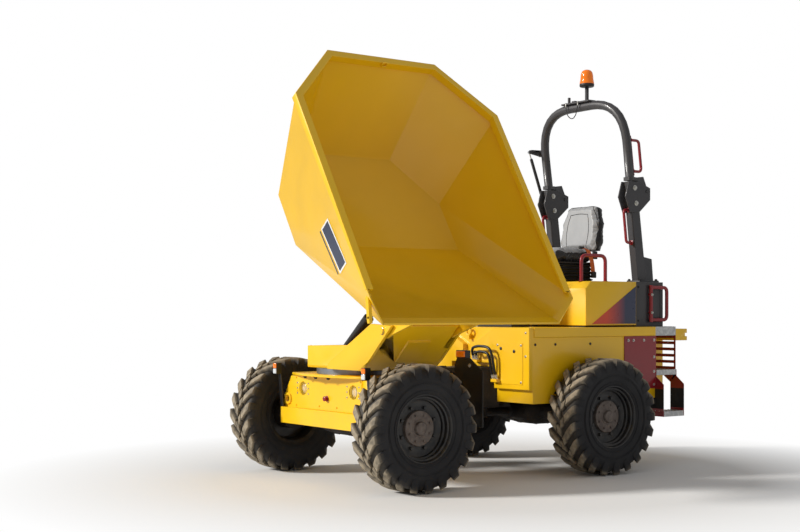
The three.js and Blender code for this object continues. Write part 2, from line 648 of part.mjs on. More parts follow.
const POST_FOOT_DEPTH = 50; // half the post's depth at its foot
const POST_HEAD_DEPTH = 42;
const POST_LOW_Z = ROPS_POST_FOOT_Z - 1;
const POST_HIGH_Z = ROPS_SPLIT_Z - 8;

// Front face of the tapered post at a height.
function postFrontX(z) {
  const low = ropsPostX(ROPS_POST_FOOT_Z) + POST_FOOT_DEPTH;
  const high = ropsPostX(POST_HIGH_Z) + POST_HEAD_DEPTH;
  return low + ((high - low) * (z - POST_LOW_Z)) / (POST_HIGH_Z - POST_LOW_Z);
}

function ropsPostSolid() {
  const foot = ropsPostX(ROPS_POST_FOOT_Z);
  const head = ropsPostX(POST_HIGH_Z);
  const lo = POST_LOW_Z;
  const hi = POST_HIGH_Z;
  const post = acrossY([
    [foot - POST_FOOT_DEPTH, lo], [foot + POST_FOOT_DEPTH, lo], [head + POST_HEAD_DEPTH, hi],
    [head - POST_HEAD_DEPTH, hi],
  ], [-POST_HALF, POST_HALF]);
  const gusset = acrossY([
    [foot - 150, lo], [foot - 40, lo], [ropsPostX(lo + 220) - 40, lo + 220], [foot - 130, lo + 200],
  ], [-22, 22]);
  const flange = block([foot - 160, foot + 75], [-75, 75], [lo, lo + 16]);
  const cheek = acrossY([
    [head + 60, hi], [head + 100, hi - 130], [head + 45, hi - 260], [head - 60, hi - 260],
    [FOLD_X - 45, FOLD_Z - 70], [FOLD_X - 45, FOLD_Z + 30], [head - 60, hi],
  ], [POST_HALF - 1, FOLD_PLATE_Y]);
  const bore = rod([FOLD_X, -60, FOLD_Z], [FOLD_X, 60, FOLD_Z], 12 + RUNNING_GAP, 12);
  return cut(join(post, gusset, flange, bothSides(cheek)), bore);
}

// Folding hoop, with the ear and pin that turn between the cheeks of each post.
function ropsHoopSolid() {
  const baseZ = ROPS_SPLIT_Z;
  const topZ = ROPS_SPLIT_Z + ROPS_HOOP_HEIGHT;
  const at = (y, z) => [ropsPostX(z), y, z];
  const tube = bentTube([
    at(-POST_Y, baseZ), at(-POST_Y - 10, topZ), at(POST_Y + 10, topZ), at(POST_Y, baseZ),
  ], ROPS_TUBE_RADIUS, ROPS_HOOP_BEND, 30, 12);
  const foot = block(
    [ropsPostX(baseZ) - 44, ropsPostX(baseZ) + 44], [-POST_HALF + 2, POST_HALF - 2], [baseZ - 2, baseZ + 30]);
  const earHalf = POST_HALF - 6;
  const ear = acrossY([
    [ropsPostX(baseZ) - 40, baseZ + 28], [ropsPostX(baseZ) - 40, baseZ - 2], [FOLD_X + 22, FOLD_Z - 24],
    [FOLD_X - 22, FOLD_Z - 24], [FOLD_X - 28, FOLD_Z + 24], [FOLD_X + 20, baseZ + 40],
  ], [-earHalf, earHalf]);
  const clear = block(
    [ropsPostX(baseZ) - 54, ropsPostX(baseZ) + 200], [-POST_HALF, POST_HALF], [FOLD_Z - 200, baseZ - 1]);
  const pin = rod([FOLD_X, -FOLD_PLATE_Y - 6, FOLD_Z], [FOLD_X, FOLD_PLATE_Y + 6, FOLD_Z], 12, 12);
  const hinge = join(cut(join(foot, ear), clear), pin);
  return join(
    tube, moved(hinge, 0, -POST_Y, 0), moved(hinge, 0, POST_Y, 0), strutBracketSolid(), beaconBracketSolid());
}

function hoopHandleSolid() {
  const z0 = ROPS_SPLIT_Z + 62;
  const z1 = z0 + 300;
  const back = (z) => ropsPostX(z) - ROPS_TUBE_RADIUS - 3 * GAP;
  const bar = acrossY([
    [back(z0 - 15) - 8, z0 - 15], [back(z0 - 15), z0 - 15], [back(z1 + 15), z1 + 15],
    [back(z1 + 15) - 8, z1 + 15],
  ], [-14, 14]);
  const hand = bentTube([
    [back(z0 + 20) - 4, 0, z0 + 20], [back(z0 + 20) - 105, 0, z0 + 20], [back(z1 - 20) - 105, 0, z1 - 20],
    [back(z1 - 20) - 4, 0, z1 - 20],
  ], GRAB_TUBE_RADIUS * 0.8, 35, 14, 8);
  return moved(join(bar, hand), 0, POST_Y + 2, 0);
}

function postHandleSolid() {
  const z0 = ROPS_POST_FOOT_Z + 332;
  const z1 = z0 + 272;
  const face = (z) => postFrontX(z) + 6 * GAP;
  const handle = bentTube([
    [face(z0), 0, z0], [face(z0) + 62, 0, z0], [face(z1) + 62, 0, z1], [face(z1), 0, z1],
  ], GRAB_TUBE_RADIUS * 0.8, 28, 14, 8);
  return moved(handle, 0, POST_Y, 0);
}

function grabRailSolid() {
  const x1 = SEAT_BOX_FRONT_X - 70;
  const x0 = x1 - 272;
  const z0 = SEAT_BOX_TOP_Z + GAP;
  const z1 = z0 + 213;
  const y = HOOD_HALF - 125;
  return bentTube([[x0, y, z0], [x0, y, z1], [x1, y, z1], [x1, y, z0]], GRAB_TUBE_RADIUS, 55, 14, 8);
}

// Closed grip that stands off the tower's side on two pegs and reaches past its rear corner.
function rearHandleSolid() {
  const z0 = SEAT_BOX_Z + 45;
  const z1 = SEAT_BOX_TOP_Z - 45;
  const x0 = ROPS_BASE_REAR_X - 20;
  const x1 = x0 + 190;
  const y = HOOD_HALF + GRAB_TUBE_RADIUS + 7;
  const grip = bentTube([
    [x1, y, z1], [x0, y, z1], [x0, y, z0], [x1, y, z0],
  ], GRAB_TUBE_RADIUS, 40, 14, 8);
  const leg = rod([x1, y, z0 - 20], [x1, y, z1 + 20], GRAB_TUBE_RADIUS + 3, 10);
  const peg = (z) => rod([x1, HOOD_HALF + GAP, z], [x1, y, z], 9, 10);
  return join(grip, leg, peg(z0 + 60), peg(z1 - 60));
}

const BEACON_TOP_Z = ROPS_SPLIT_Z + ROPS_HOOP_HEIGHT + ROPS_TUBE_RADIUS;
const BEACON_Y = 80;

function beaconBracketSolid() {
  const z = BEACON_TOP_Z;
  const x = ropsPostX(BEACON_TOP_Z);
  const plate = block([x - 45, x + 45], [-195, 145], [z - 6, z + 8]);
  const stem = rod([x, BEACON_Y, z + 7], [x, BEACON_Y, z + 125], 17, 12);
  const stub = rod([x, -140, z + 7], [x, -140, z + 62], 13, 10);
  const clamp = block([x - 20, x + 20], [-90, -50], [z + 7, z + 24]);
  return join(plate, stem, stub, clamp);
}

function beaconLampSolid() {
  const x = ropsPostX(BEACON_TOP_Z);
  const z = BEACON_TOP_Z + 125 + 3 * GAP;
  const lamp = turned([[0, 0], [58, 0], [64, 14], [62, 40], [56, 100], [42, 136], [18, 150], [0, 150]], 20);
  return moved(lamp.rotate([90, 0, 0]), x, BEACON_Y, z);
}

// ---- gas strut of the hoop ------------------------------------------------------------------------
const STRUT_Y = -POST_Y - 75;
const STRUT_FOOT = [ropsPostX(ROPS_SPLIT_Z) + 10, ROPS_SPLIT_Z - 80];
const STRUT_HEAD = [ropsPostX(ROPS_SPLIT_Z) + 170, ROPS_SPLIT_Z + 330];

function strutBracketSolid() {
  const [x, z] = STRUT_HEAD;
  const arm = acrossY([
    [x - 150, z - 40], [x - 15, z - 18], [x + 18, z - 14], [x + 18, z + 16], [x - 15, z + 22],
    [x - 150, z + 26],
  ], [STRUT_Y + 14, STRUT_Y + 22]);
  const web = block([x - 152, x - 100], [STRUT_Y + 14, -POST_Y - 20], [z - 36, z + 22]);
  return join(arm, web);
}

function strutBarrelSolid() {
  const [x0, z0] = STRUT_FOOT;
  const [x1, z1] = STRUT_HEAD;
  const at = (share) => [x0 + (x1 - x0) * share, STRUT_Y, z0 + (z1 - z0) * share];
  const eye = rod([x0, STRUT_Y - 10, z0], [x0, STRUT_Y + 10, z0], 15, 14);
  const pin = rod([x0, STRUT_Y + 9, z0], [x0, -POST_Y - FOLD_PLATE_Y - GAP, z0], 8, 10);
  const tube = rod(at(0), at(0.86), 14, 12);
  const bore = rod(at(0.08), at(0.87), 6 + RUNNING_GAP, 12);
  return join(eye, pin, cut(tube, bore));
}

function strutRodSolid() {
  const [x0, z0] = STRUT_FOOT;
  const [x1, z1] = STRUT_HEAD;
  const at = (share) => [x0 + (x1 - x0) * share, STRUT_Y, z0 + (z1 - z0) * share];
  const eye = rod([x1, STRUT_Y - 9, z1], [x1, STRUT_Y + 8, z1], 13, 14);
  return join(rod(at(0.14), at(1), 6, 12), eye);
}

// ---- front chassis --------------------------------------------------------------------------------
function frontFrameSolid() {
  const half = FRONT_FRAME_WIDTH / 2;
  const rear = PIVOT_X + 145;
  const low = AXLE_Z + 110;
  const shell = block([rear, FRAME_FRONT_X], [-half, half], [low, FRAME_TOP_Z]);
  const hollow = block(
    [rear + 130, FRAME_FRONT_X - 12], [-half + 20, half - 20], [low - 1, FRAME_TOP_Z - 15]);
  const knuckle = join(
    rod([PIVOT_X, 0, KNUCKLE_BOTTOM_Z], [PIVOT_X, 0, KNUCKLE_TOP_Z], KNUCKLE_RADIUS, 20),
    raised([
      [PIVOT_X, -KNUCKLE_RADIUS], [rear + 10, -150], [rear + 10, 150], [PIVOT_X, KNUCKLE_RADIUS],
    ], [KNUCKLE_BOTTOM_Z, KNUCKLE_TOP_Z]));
  const bore = rod(
    [PIVOT_X, 0, KNUCKLE_BOTTOM_Z - 1], [PIVOT_X, 0, KNUCKLE_TOP_Z + 1], PIVOT_PIN_RADIUS + RUNNING_GAP, 20);
  return cut(join(cut(shell, hollow), cut(knuckle, bore), steerEar()), bore);
}

function bumperSolid() {
  const front = BUMPER_FRONT_X;
  const low = AXLE_Z - 50;
  const half = BUMPER_WIDTH / 2;
  const beam = block([front - BUMPER_DEPTH, front], [-half, half], [low, low + BUMPER_HEIGHT]);
  const hollow = block(
    [front - BUMPER_DEPTH - 1, front - 10], [-half + 10, half - 10], [low + 10, low + BUMPER_HEIGHT - 10]);
  return cut(beam, hollow);
}

const BUMPER_TOP_Z = AXLE_Z - 50 + BUMPER_HEIGHT;
const HEADLIGHT_Z = AXLE_Z + 230;

function frontPanelSolid() {
  const half = PANEL_WIDTH / 2;
  const x = [PANEL_FRONT_X - 8, PANEL_FRONT_X];
  const plate = block(x, [-half, half], [BUMPER_TOP_Z + GAP, FRAME_TOP_Z]);
  const y = HEADLIGHT_SPACING / 2;
  const hole = rod([x[0] - 1, y, HEADLIGHT_Z], [x[1] + 1, y, HEADLIGHT_Z], HEADLIGHT_RADIUS + GAP, 20);
  const side = block([x[0] - 80, x[0] + 1], [half - 8, half], [BUMPER_TOP_Z + GAP, FRAME_TOP_Z]);
  return cut(join(plate, bothSides(side)), hole, mirroredY(hole));
}

function headlightSolid() {
  const x = PANEL_FRONT_X;
  const y = HEADLIGHT_SPACING / 2;
  const bowl = rod([x - 60, y, HEADLIGHT_Z], [x - 3, y, HEADLIGHT_Z], HEADLIGHT_RADIUS, 20);
  const back = x - 8 - GAP;
  return join(bowl, rod([back - 10, y, HEADLIGHT_Z], [back, y, HEADLIGHT_Z], HEADLIGHT_RADIUS + 12, 20));
}

// Tie-down lug at each end of the bumper.
function liftLugsSolid() {
  const x = [PANEL_FRONT_X - 22, PANEL_FRONT_X - 4];
  const inner = PANEL_WIDTH / 2 + GAP;
  const outer = BUMPER_WIDTH / 2;
  const lug = alongX([
    [inner, BUMPER_TOP_Z - 1], [outer, BUMPER_TOP_Z - 1], [outer, BUMPER_TOP_Z + 90],
    [inner + 110, FRAME_TOP_Z - 70], [inner + 70, FRAME_TOP_Z - 8], [inner, FRAME_TOP_Z - 8],
  ], x);
  const y = outer - 62;
  const z = BUMPER_TOP_Z + 66;
  return bothSides(cut(lug, rod([x[0] - 1, y, z], [x[1] + 1, y, z], 26, 16)));
}

function turntablePlateSolid() {
  const half = 480;
  const arc = [];
  const bulge = 75;
  for (let i = -4; i <= 4; i += 1) {
    const share = i / 4;
    arc.push([PANEL_FRONT_X + 15 + bulge * (1 - share * share), share * half]);
  }
  const rear = PIVOT_X + 200;
  const outline = [...arc, [-250, half], [rear, 300], [rear, -300], [-250, -half]];
  return raised(outline, [FRAME_TOP_Z + GAP, TURNTABLE_Z]);
}

function slewRingSolid() {
  const z0 = TURNTABLE_Z + GAP;
  const z1 = SLEW_TOP_Z - GAP;
  const ring = rod([SWIVEL_X, 0, z0], [SWIVEL_X, 0, z1], SLEW_RING_RADIUS, 32);
  return cut(ring, rod([SWIVEL_X, 0, z0 - 1], [SWIVEL_X, 0, z1 + 1], SLEW_RING_BORE, 32));
}

const LIGHT_Y = 612;
const LIGHT_X = BUMPER_FRONT_X + 30;

function lightClusterSolid() {
  const z1 = FRAME_TOP_Z + 90;
  const y = [LIGHT_Y - 20, LIGHT_Y + 20];
  const post = acrossY([
    [LIGHT_X - 42, BUMPER_TOP_Z + GAP], [LIGHT_X - 32, BUMPER_TOP_Z + GAP], [LIGHT_X - 12, z1 - 80],
    [LIGHT_X - 12, z1], [LIGHT_X - 20, z1], [LIGHT_X - 20, z1 - 80],
  ], y);
  const lamp = block([LIGHT_X - 13, LIGHT_X + 30], [LIGHT_Y - 26, LIGHT_Y + 26], [z1 - 88, z1]);
  return join(post, lamp);
}

const MUDGUARD_X = -TYRE_RADIUS - 95;

function mudguardSolid() {
  const inner = WHEEL_Y - TYRE_WIDTH / 2 - 95;
  const outer = inner + MUDGUARD_WIDTH;
  const low = AXLE_Z - 20;
  const high = AXLE_Z + 480;
  const outline = [
    [inner, low], [outer, low], [outer, AXLE_Z + 385], [outer - 150, high], [inner + 30, high],
    [inner, AXLE_Z + 425],
  ];
  const plate = alongX(outline, [MUDGUARD_X - 8, MUDGUARD_X]);
  const arm = block(
    [MUDGUARD_X - 60, MUDGUARD_X - 7], [FRONT_FRAME_WIDTH / 2 + GAP, inner + 60],
    [AXLE_Z + 150, AXLE_Z + 230]);
  const lamp = block([MUDGUARD_X - 30, MUDGUARD_X + 20], [inner + 45, inner + 155], [high - 1, high + 55]);
  return join(plate, arm, lamp);
}

// ---- steering ram ---------------------------------------------------------------------------------
const STEER_BASE_BACK = 250; // behind the articulation
const STEER_EAR_AHEAD = 185; // in front of it
const STEER_Y = 150;
const STEER_Z = AXLE_Z + 18;
const STEER_RADIUS = 30;
const STEER_BARREL = 285;
const STEER_ROD = 250;

// Two fork plates with a web at x; the eye of the given half height turns between them.
function steerFork(eyeX, webX, half, topZ) {
  const xs = [Math.min(eyeX - 26, webX), Math.max(eyeX + 26, webX + 24)];
  const y = [STEER_Y - 28, STEER_Y + 28];
  const plates = [-1, 1].map((side) => {
    const z = [STEER_Z + side * half, STEER_Z + side * (half + 12)];
    return block(xs, y, z);
  });
  return join(...plates, block([webX, webX + 24], y, [STEER_Z - half - 12, topZ]));
}

const steerBracket = (eyeX) => steerFork(eyeX, eyeX - 66, STEER_RADIUS + 3, RAIL_Z);

const steerEar = () => {
  const eyeX = PIVOT_X + STEER_EAR_AHEAD;
  return steerFork(eyeX, eyeX + 54, 24, AXLE_Z + 140);
};

function steerBarrelSolid() {
  const x0 = PIVOT_X - STEER_BASE_BACK;
  const half = STEER_RADIUS + 3 - GAP;
  const eye = rod([x0, STEER_Y, STEER_Z - half], [x0, STEER_Y, STEER_Z + half], 25, 16);
  const end = x0 + STEER_BARREL;
  const tube = rod([x0, STEER_Y, STEER_Z], [end, STEER_Y, STEER_Z], STEER_RADIUS, 16);
  const bore = rod([x0 + 40, STEER_Y, STEER_Z], [end + 1, STEER_Y, STEER_Z], 15 + RUNNING_GAP, 16);
  return cut(join(eye, tube), bore);
}

function steerRodSolid() {
  const x1 = PIVOT_X + STEER_EAR_AHEAD;
  const eye = rod([x1, STEER_Y, STEER_Z - 24 + GAP], [x1, STEER_Y, STEER_Z + 24 - GAP], 24, 16);
  return join(rod([x1 - STEER_ROD, STEER_Y, STEER_Z], [x1, STEER_Y, STEER_Z], 15, 16), eye);
}

// ---- swivel frame and skip, drawn facing forward with the swivel axis at x = 0 ---------------------
const CHEEK_Y = CHEEK_SPACING / 2;
const SWIVEL_BOTTOM_Z = SLEW_TOP_Z + GAP;

const FRONT_PLATE = { foot: [596, SWIVEL_BOTTOM_Z + 44], head: [TIP_PIVOT_REACH + 100, TIP_PIVOT_Z + 32] };

// A point at a share of the inclined front plate's height and a distance out from its face.
function onFrontPlate(share, out) {
  const { foot, head } = FRONT_PLATE;
  const run = [head[0] - foot[0], head[1] - foot[1]];
  const length = Math.hypot(...run);
  const outward = [run[1] / length, -run[0] / length];
  return [foot[0] + run[0] * share + outward[0] * out, foot[1] + run[1] * share + outward[1] * out];
}

function swivelFrameSolid() {
  const z0 = SWIVEL_BOTTOM_Z;
  const zp = TIP_PIVOT_Z;
  const r = TIP_PIVOT_REACH;
  const half = 250;
  const base = raised([
    [-315, -half], [540, -CHEEK_Y + 5], [540, CHEEK_Y - 5], [-315, half],
  ], [z0, z0 + SWIVEL_PLATE]);
  const wall = acrossY([
    [-315, z0], [330, z0], [330, z0 + 180], [-315, z0 + 165],
  ], [half - 20, half]);
  const tailPlate = block([-315, -295], [-half, half], [z0, z0 + 165]);
  const cheek = acrossY([
    [90, z0], [500, z0], [552, z0 + 28], [621, z0 + 62], [r + 110, zp + 37], [659, zp + 49], [100, z0 + 46],
  ], [CHEEK_Y - CHEEK_THICKNESS, CHEEK_Y]);
  const plate = acrossY([
    [500, z0 + 1], [540, z0 + 1], onFrontPlate(0, 0), onFrontPlate(1, 0), onFrontPlate(1, -12),
    onFrontPlate(0.04, -12), [500, z0 + 19],
  ], [-CHEEK_Y + 2, CHEEK_Y - 2]);
  const slot = block([r - 100, r + 150], [ARM_Y - 10, CHEEK_Y - CHEEK_THICKNESS - 0.01], [zp - 130, zp + 80]);
  const doubler = acrossY([
    onFrontPlate(0.08, 14), onFrontPlate(0.62, 14), onFrontPlate(0.62, -3), onFrontPlate(0.08, -3),
  ], [-100, 100]);
  const pivotBore = rod([r, -CHEEK_Y - 1, zp], [r, CHEEK_Y + 1, zp], TIP_PIN_RADIUS + RUNNING_GAP, 16);
  const well = block([-120, 120], [-120, 120], [z0 - 1, z0 + 40]);
  const centre = cut(join(base, bothSides(wall), tailPlate), well);
  const slotted = cut(plate, slot, mirroredY(slot));
  return cut(join(centre, bothSides(cheek), slotted, doubler, tipForkSolid()), pivotBore);
}

const ARM_THICKNESS = 24;
const ARM_Y = CHEEK_Y - CHEEK_THICKNESS - ARM_THICKNESS - 6;
const RAM_FOOT = { x: -235, z: SWIVEL_BOTTOM_Z + 65 };
const RAM_HEAD_DOWN = { x: -470, z: -75 }; // from the tip pivot, with the skip down

function tipForkSolid() {
  const ear = (y) => block([-300, RAM_FOOT.x + 32], [y, y + 18], [SWIVEL_BOTTOM_Z + 10, RAM_FOOT.z + 34]);
  return join(ear(-50), ear(32));
}

// The skip, with its tip pivot at the origin and its floor level.
const floorZ = -SKIP_FLOOR_BELOW_PIVOT;
const rimZ = floorZ + SKIP_DEPTH;
const SKIP = {
  floorRear: { x: -1642, half: 416 },
  floorCorner: { x: -1221, half: 738 },
  floorFront: { x: -778, half: 738 },
  rimRear: { x: -1953, half: 485 },
  rimCorner: { x: -1499, half: 905 },
  rimFront: { x: 155, half: 884, drop: 40 },
  lip: { x: 296, half: 768, drop: 156 },
};

// Corners in order round the floor and round the rim, grown outward by the given distance.
function skipRings(grow, rise, lift) {
  const out = (point) => ({ x: point.x, half: point.half + grow });
  const rearward = (point) => ({ x: point.x - grow, half: point.half + grow });
  const floor = [rearward(SKIP.floorRear), out(SKIP.floorCorner), out(SKIP.floorFront)];
  const slope = lift / SKIP_DEPTH;
  const lean = (foot, head, drop) => ({
    x: head.x + (head.x - foot.x) * slope,
    half: head.half + (head.half - foot.half) * slope,
    z: rimZ - drop + lift,
  });
  const rim = [
    lean(floor[0], rearward(SKIP.rimRear), 0), lean(floor[1], out(SKIP.rimCorner), 0),
    lean(floor[2], out(SKIP.rimFront), SKIP.rimFront.drop), lean(floor[2], out(SKIP.lip), SKIP.lip.drop),
  ];
  return { floor: floor.map((p) => ({ ...p, z: floorZ + rise })), rim };
}

function skipBlock(grow, rise, lift) {
  const { floor, rim } = skipRings(grow, rise, lift);
  const round = (ring) => [
    ...ring.map((p) => [p.x, p.half, p.z]), ...ring.map((p) => [p.x, -p.half, p.z]).reverse(),
  ];
  const corners = [...round(floor), ...round(rim)];
  const f = 0;
  const r = 6;
  const sides = [
    [f, r, r + 1, f + 1], [f + 1, r + 1, r + 2, f + 2], [f + 2, r + 2, r + 3], [f + 2, r + 3, r + 4, f + 3],
    [f + 3, r + 4, r + 5], [f + 3, r + 5, r + 6, f + 4], [f + 4, r + 6, r + 7, f + 5], [f + 5, r + 7, r, f],
  ];
  const caps = [
    [f + 5, f, f + 1, f + 2, f + 3, f + 4], [r, r + 7, r + 6, r + 1], [r + 1, r + 6, r + 5, r + 2],
    [r + 2, r + 5, r + 4, r + 3],
  ];
  const fan = (face) => face.slice(2).flatMap((_, i) => [face[0], face[i + 1], face[i + 2]]);
  const index = [...sides, ...caps].flatMap(fan);
  const geometry = new THREE.BufferGeometry();
  geometry.setAttribute('position', new THREE.Float32BufferAttribute(corners.flat(), 3));
  geometry.setIndex(index);
  return toSolid(geometry);
}

function rimOutline(inset) {
  const half = [
    [SKIP.rimRear.x + inset, SKIP.rimRear.half - inset * 0.4],
    [SKIP.rimCorner.x + inset * 0.4, SKIP.rimCorner.half - inset],
    [SKIP.rimFront.x - 60, SKIP.rimFront.half - inset + 2],
  ];
  return [...half, ...half.map(([x, y]) => [x, -y]).reverse()];
}

function skipSolid() {
  const shell = cut(skipBlock(0, 0, 0), skipBlock(-SKIP_SHEET, SKIP_SHEET, 60));
  const mouth = SKIP.rimFront.half - 60;
  const band = cut(
    raised(rimOutline(0), [rimZ - 58, rimZ]), raised(rimOutline(SKIP_RIM_BAND), [rimZ - 60, rimZ + 1]),
    block([SKIP.rimFront.x - 62, SKIP.rimFront.x + 20], [-mouth, mouth], [rimZ - 61, rimZ + 2]));
  const { x, half, drop } = SKIP.lip;
  const lipZ = rimZ - drop;
  const lipBar = acrossY([
    [x - 70, lipZ - 42], [x + 2, lipZ], [x - 6, lipZ + 14], [x - 10, lipZ + 12], [x - 75, lipZ - 28],
  ], [-half + 4, half - 4]);
  return join(shell, cut(band, skipHeadroom()), lipBar, skipFeetSolid());
}

// Space above the rim's front part, where the side walls slope down to the lip.
function skipHeadroom() {
  const { rimFront, lip } = SKIP;
  const outline = [
    [SKIP.rimCorner.x, rimZ + 0.5], [rimFront.x, rimZ - rimFront.drop], [lip.x, rimZ - lip.drop],
    [lip.x, rimZ + 90], [SKIP.rimCorner.x, rimZ + 90],
  ];
  return acrossY(outline, [-1000, 1000]);
}

// Pivot arms and ram ears under the skip, trimmed to the skip's underside.
function skipFeetSolid() {
  const arm = acrossY([
    [-60, -20], [-30, -50], [22, -50], [52, -20], [66, 60], [140, 330], [-330, 330], [-420, 130], [-330, 60],
    [-110, 20],
  ], [ARM_Y, ARM_Y + ARM_THICKNESS]);
  const pin = rod([0, ARM_Y + 5, 0], [0, CHEEK_Y + 14, 0], TIP_PIN_RADIUS, 16);
  const { x, z } = RAM_HEAD_DOWN;
  const ear = acrossY([
    [x - 36, 60], [x - 30, z - 24], [x + 32, z - 24], [x + 150, 180], [x - 36, 160],
  ], [30, 48]);
  return bothSides(join(trimToSkip(join(arm, ear)), pin));
}

const trimToSkip = (solid) => cut(solid, skipBlock(-SKIP_SHEET / 2, SKIP_SHEET / 2, 60));

// ---- tip ram --------------------------------------------------------------------------------------
const RAM_RADIUS = 40;
const RAM_ROD_RADIUS = 24;
const RAM_BARREL = 500;
const RAM_ROD = 480;

function ramHeadTipped() {
  const { x, z } = RAM_HEAD_DOWN;
  const c = Math.cos(TIP_ANGLE);
  const s = Math.sin(TIP_ANGLE);
  return { x: TIP_PIVOT_REACH + x * c + z * s, z: TIP_PIVOT_Z - x * s + z * c };
}

function ramPlaces() {
  const foot = RAM_FOOT;
  const head = ramHeadTipped();
  const length = Math.hypot(head.x - foot.x, head.z - foot.z);
  const at = (distance) => {
    const share = distance / length;
    return [foot.x + (head.x - foot.x) * share, 0, foot.z + (head.z - foot.z) * share];
  };
  return { at, length };
}

function tipBarrelSolid() {
  const { at } = ramPlaces();
  const { x, z } = RAM_FOOT;
  const eye = rod([x, -32 + GAP, z], [x, 32 - GAP, z], 30, 16);
  const bore = rod(at(80), at(RAM_BARREL + 1), RAM_ROD_RADIUS + RUNNING_GAP, 18);
  const tube = cut(rod(at(62), at(RAM_BARREL), RAM_RADIUS, 18), bore);
  return join(eye, tube, rod(at(0), at(70), 28, 16));
}

function tipRodSolid() {
  const { at, length } = ramPlaces();
  const head = at(length);
  const eye = rod([head[0], -25, head[2]], [head[0], 25, head[2]], 27, 16);
  return join(eye, rod(at(length - RAM_ROD), at(length), RAM_ROD_RADIUS, 16));
}

// ---- hoses and lead -------------------------------------------------------------------------------
const HOSE_START = { y: 50, z: AXLE_Z + 438 };
const HOSE_END = { y: 330, z: AXLE_Z + 292 };

// One of the two nested loops, the inner one with inset 1.
function hoseSolid(inset) {
  const x = BODY_FRONT_X + SCUTTLE_BOX_DEPTH;
  const shift = inset * HOSE_SPACING;
  const y0 = HOSE_START.y + shift;
  const y1 = HOSE_END.y - shift;
  const top = AXLE_Z + 545 - 1.1 * shift;
  return cord([
    [x + 22, y0, HOSE_START.z], [x + 46, y0 + 4, HOSE_START.z + 60], [x + 70, y0 + 45 - shift / 2, top - 14],
    [x + 70, (y0 + y1) / 2, top], [x + 62, y1 - 40 + shift / 2, top - 22], [x + 42, y1 - 3, HOSE_END.z + 60],
    [x + 22, y1, HOSE_END.z],
  ], HOSE_RADIUS, 18);
}

// Bulkhead fittings that hold both ends of the two hoses.
function hoseFittingsSolid() {
  const x = BODY_FRONT_X + SCUTTLE_BOX_DEPTH;
  const fitting = (y, z) => block([x - 1, x + 40], [y - 18, y + HOSE_SPACING + 18], [z - 30, z - 4.5]);
  return join(fitting(HOSE_START.y, HOSE_START.z), fitting(HOSE_END.y - HOSE_SPACING, HOSE_END.z));
}

// The beacon's lead hangs in a loop from the front edge of its plate.
const LEAD_END_RISE = 6; // above the plate's underside
const leadPoints = () => {
  const x = ropsPostX(BEACON_TOP_Z) + 45 + LEAD_RADIUS + GAP;
  const z = BEACON_TOP_Z + LEAD_END_RISE;
  return [
    [x, -130, z], [x, -129, z - 28], [x + 2, -122, z - 73], [x + 2, -85, z - 126], [x + 2, -40, z - 140],
    [x + 2, -4, z - 110], [x + 2, 12, z - 58], [x, 18, z - 28], [x, 20, z],
  ];
};

// ---- assembly -------------------------------------------------------------------------------------
const machine = new THREE.Group();

function addRearChassis(parent) {
  add(parent, 'rear_frame', rearFrameSolid(), CASTING);
  add(parent, 'rear_axle', axleSolid(REAR_AXLE_X, RAIL_Z, 1), CASTING);
  add(parent, 'rear_body', rearBodySolid(), YELLOW);
  add(parent, 'rear_bumper', rearBumperSolid(), YELLOW);
  add(parent, 'rear_deck', rearDeckSolid(), TREADPLATE);
  add(parent, 'steps_left', stepsSolid(), RED);
  add(parent, 'steps_right', mirroredY(stepsSolid()), RED);
  add(parent, 'engine_block', engineSolid(), CASTING);
}

function addOperatorPlace(parent) {
  add(parent, 'seat_box', seatBoxSolid(), YELLOW);
  add(parent, 'rops_base', ropsBaseSolid(), GREY);
  add(parent, 'seat_suspension', seatSuspensionSolid(), BLACK);
  add(parent, 'seat_cushion', cushionSolid(), SEAT_CLOTH);
  add(parent, 'seat_backrest', backrestSolid(), SEAT_CLOTH);
  add(parent, 'dash_console', join(dashSolid(), steeringColumnSolid(), leversSolid(), pedalsSolid()), BLACK);
  add(parent, 'steering_wheel', steeringWheelSolid(), BLACK);
  add(parent, 'post_handle_left', postHandleSolid(), RED);
  add(parent, 'post_handle_right', mirroredY(postHandleSolid()), RED);
  add(parent, 'grab_rail_left', grabRailSolid(), RED);
  add(parent, 'grab_rail_right', mirroredY(grabRailSolid()), RED);
  add(parent, 'rear_handle_left', rearHandleSolid(), RED);
  add(parent, 'rear_handle_right', mirroredY(rearHandleSolid()), RED);
}

function addHoop(parent) {
  add(parent, 'rops_hoop', ropsHoopSolid(), GREY);
  add(parent, 'hoop_handle', hoopHandleSolid(), RED);
  add(parent, 'beacon_lamp', beaconLampSolid(), AMBER);
  add(parent, 'beacon_lead', cord(leadPoints(), LEAD_RADIUS, 26), BLACK);
  add(parent, 'strut_barrel', strutBarrelSolid(), BLACK);
  add(parent, 'strut_rod', strutRodSolid(), STEEL);
}

function addFrontChassis(parent) {
  add(parent, 'front_frame', frontFrameSolid(), YELLOW);
  add(parent, 'front_axle', axleSolid(0, AXLE_Z + 110, -1), CASTING);
  add(parent, 'front_bumper', join(bumperSolid(), liftLugsSolid()), YELLOW);
  add(parent, 'front_panel', frontPanelSolid(), YELLOW);
  add(parent, 'headlight_left', headlightSolid(), LENS);
  add(parent, 'headlight_right', mirroredY(headlightSolid()), LENS);
  add(parent, 'light_cluster_left', lightClusterSolid(), BLACK);
  add(parent, 'light_cluster_right', mirroredY(lightClusterSolid()), BLACK);
  add(parent, 'turntable_plate', turntablePlateSolid(), YELLOW);
  add(parent, 'slew_ring', slewRingSolid(), STEEL);
  add(parent, 'mudguard_left', mudguardSolid(), BLACK);
  add(parent, 'mudguard_right', mirroredY(mudguardSolid()), BLACK);
  add(parent, 'steer_barrel', steerBarrelSolid(), BLACK);
  add(parent, 'steer_rod', steerRodSolid(), STEEL);
}

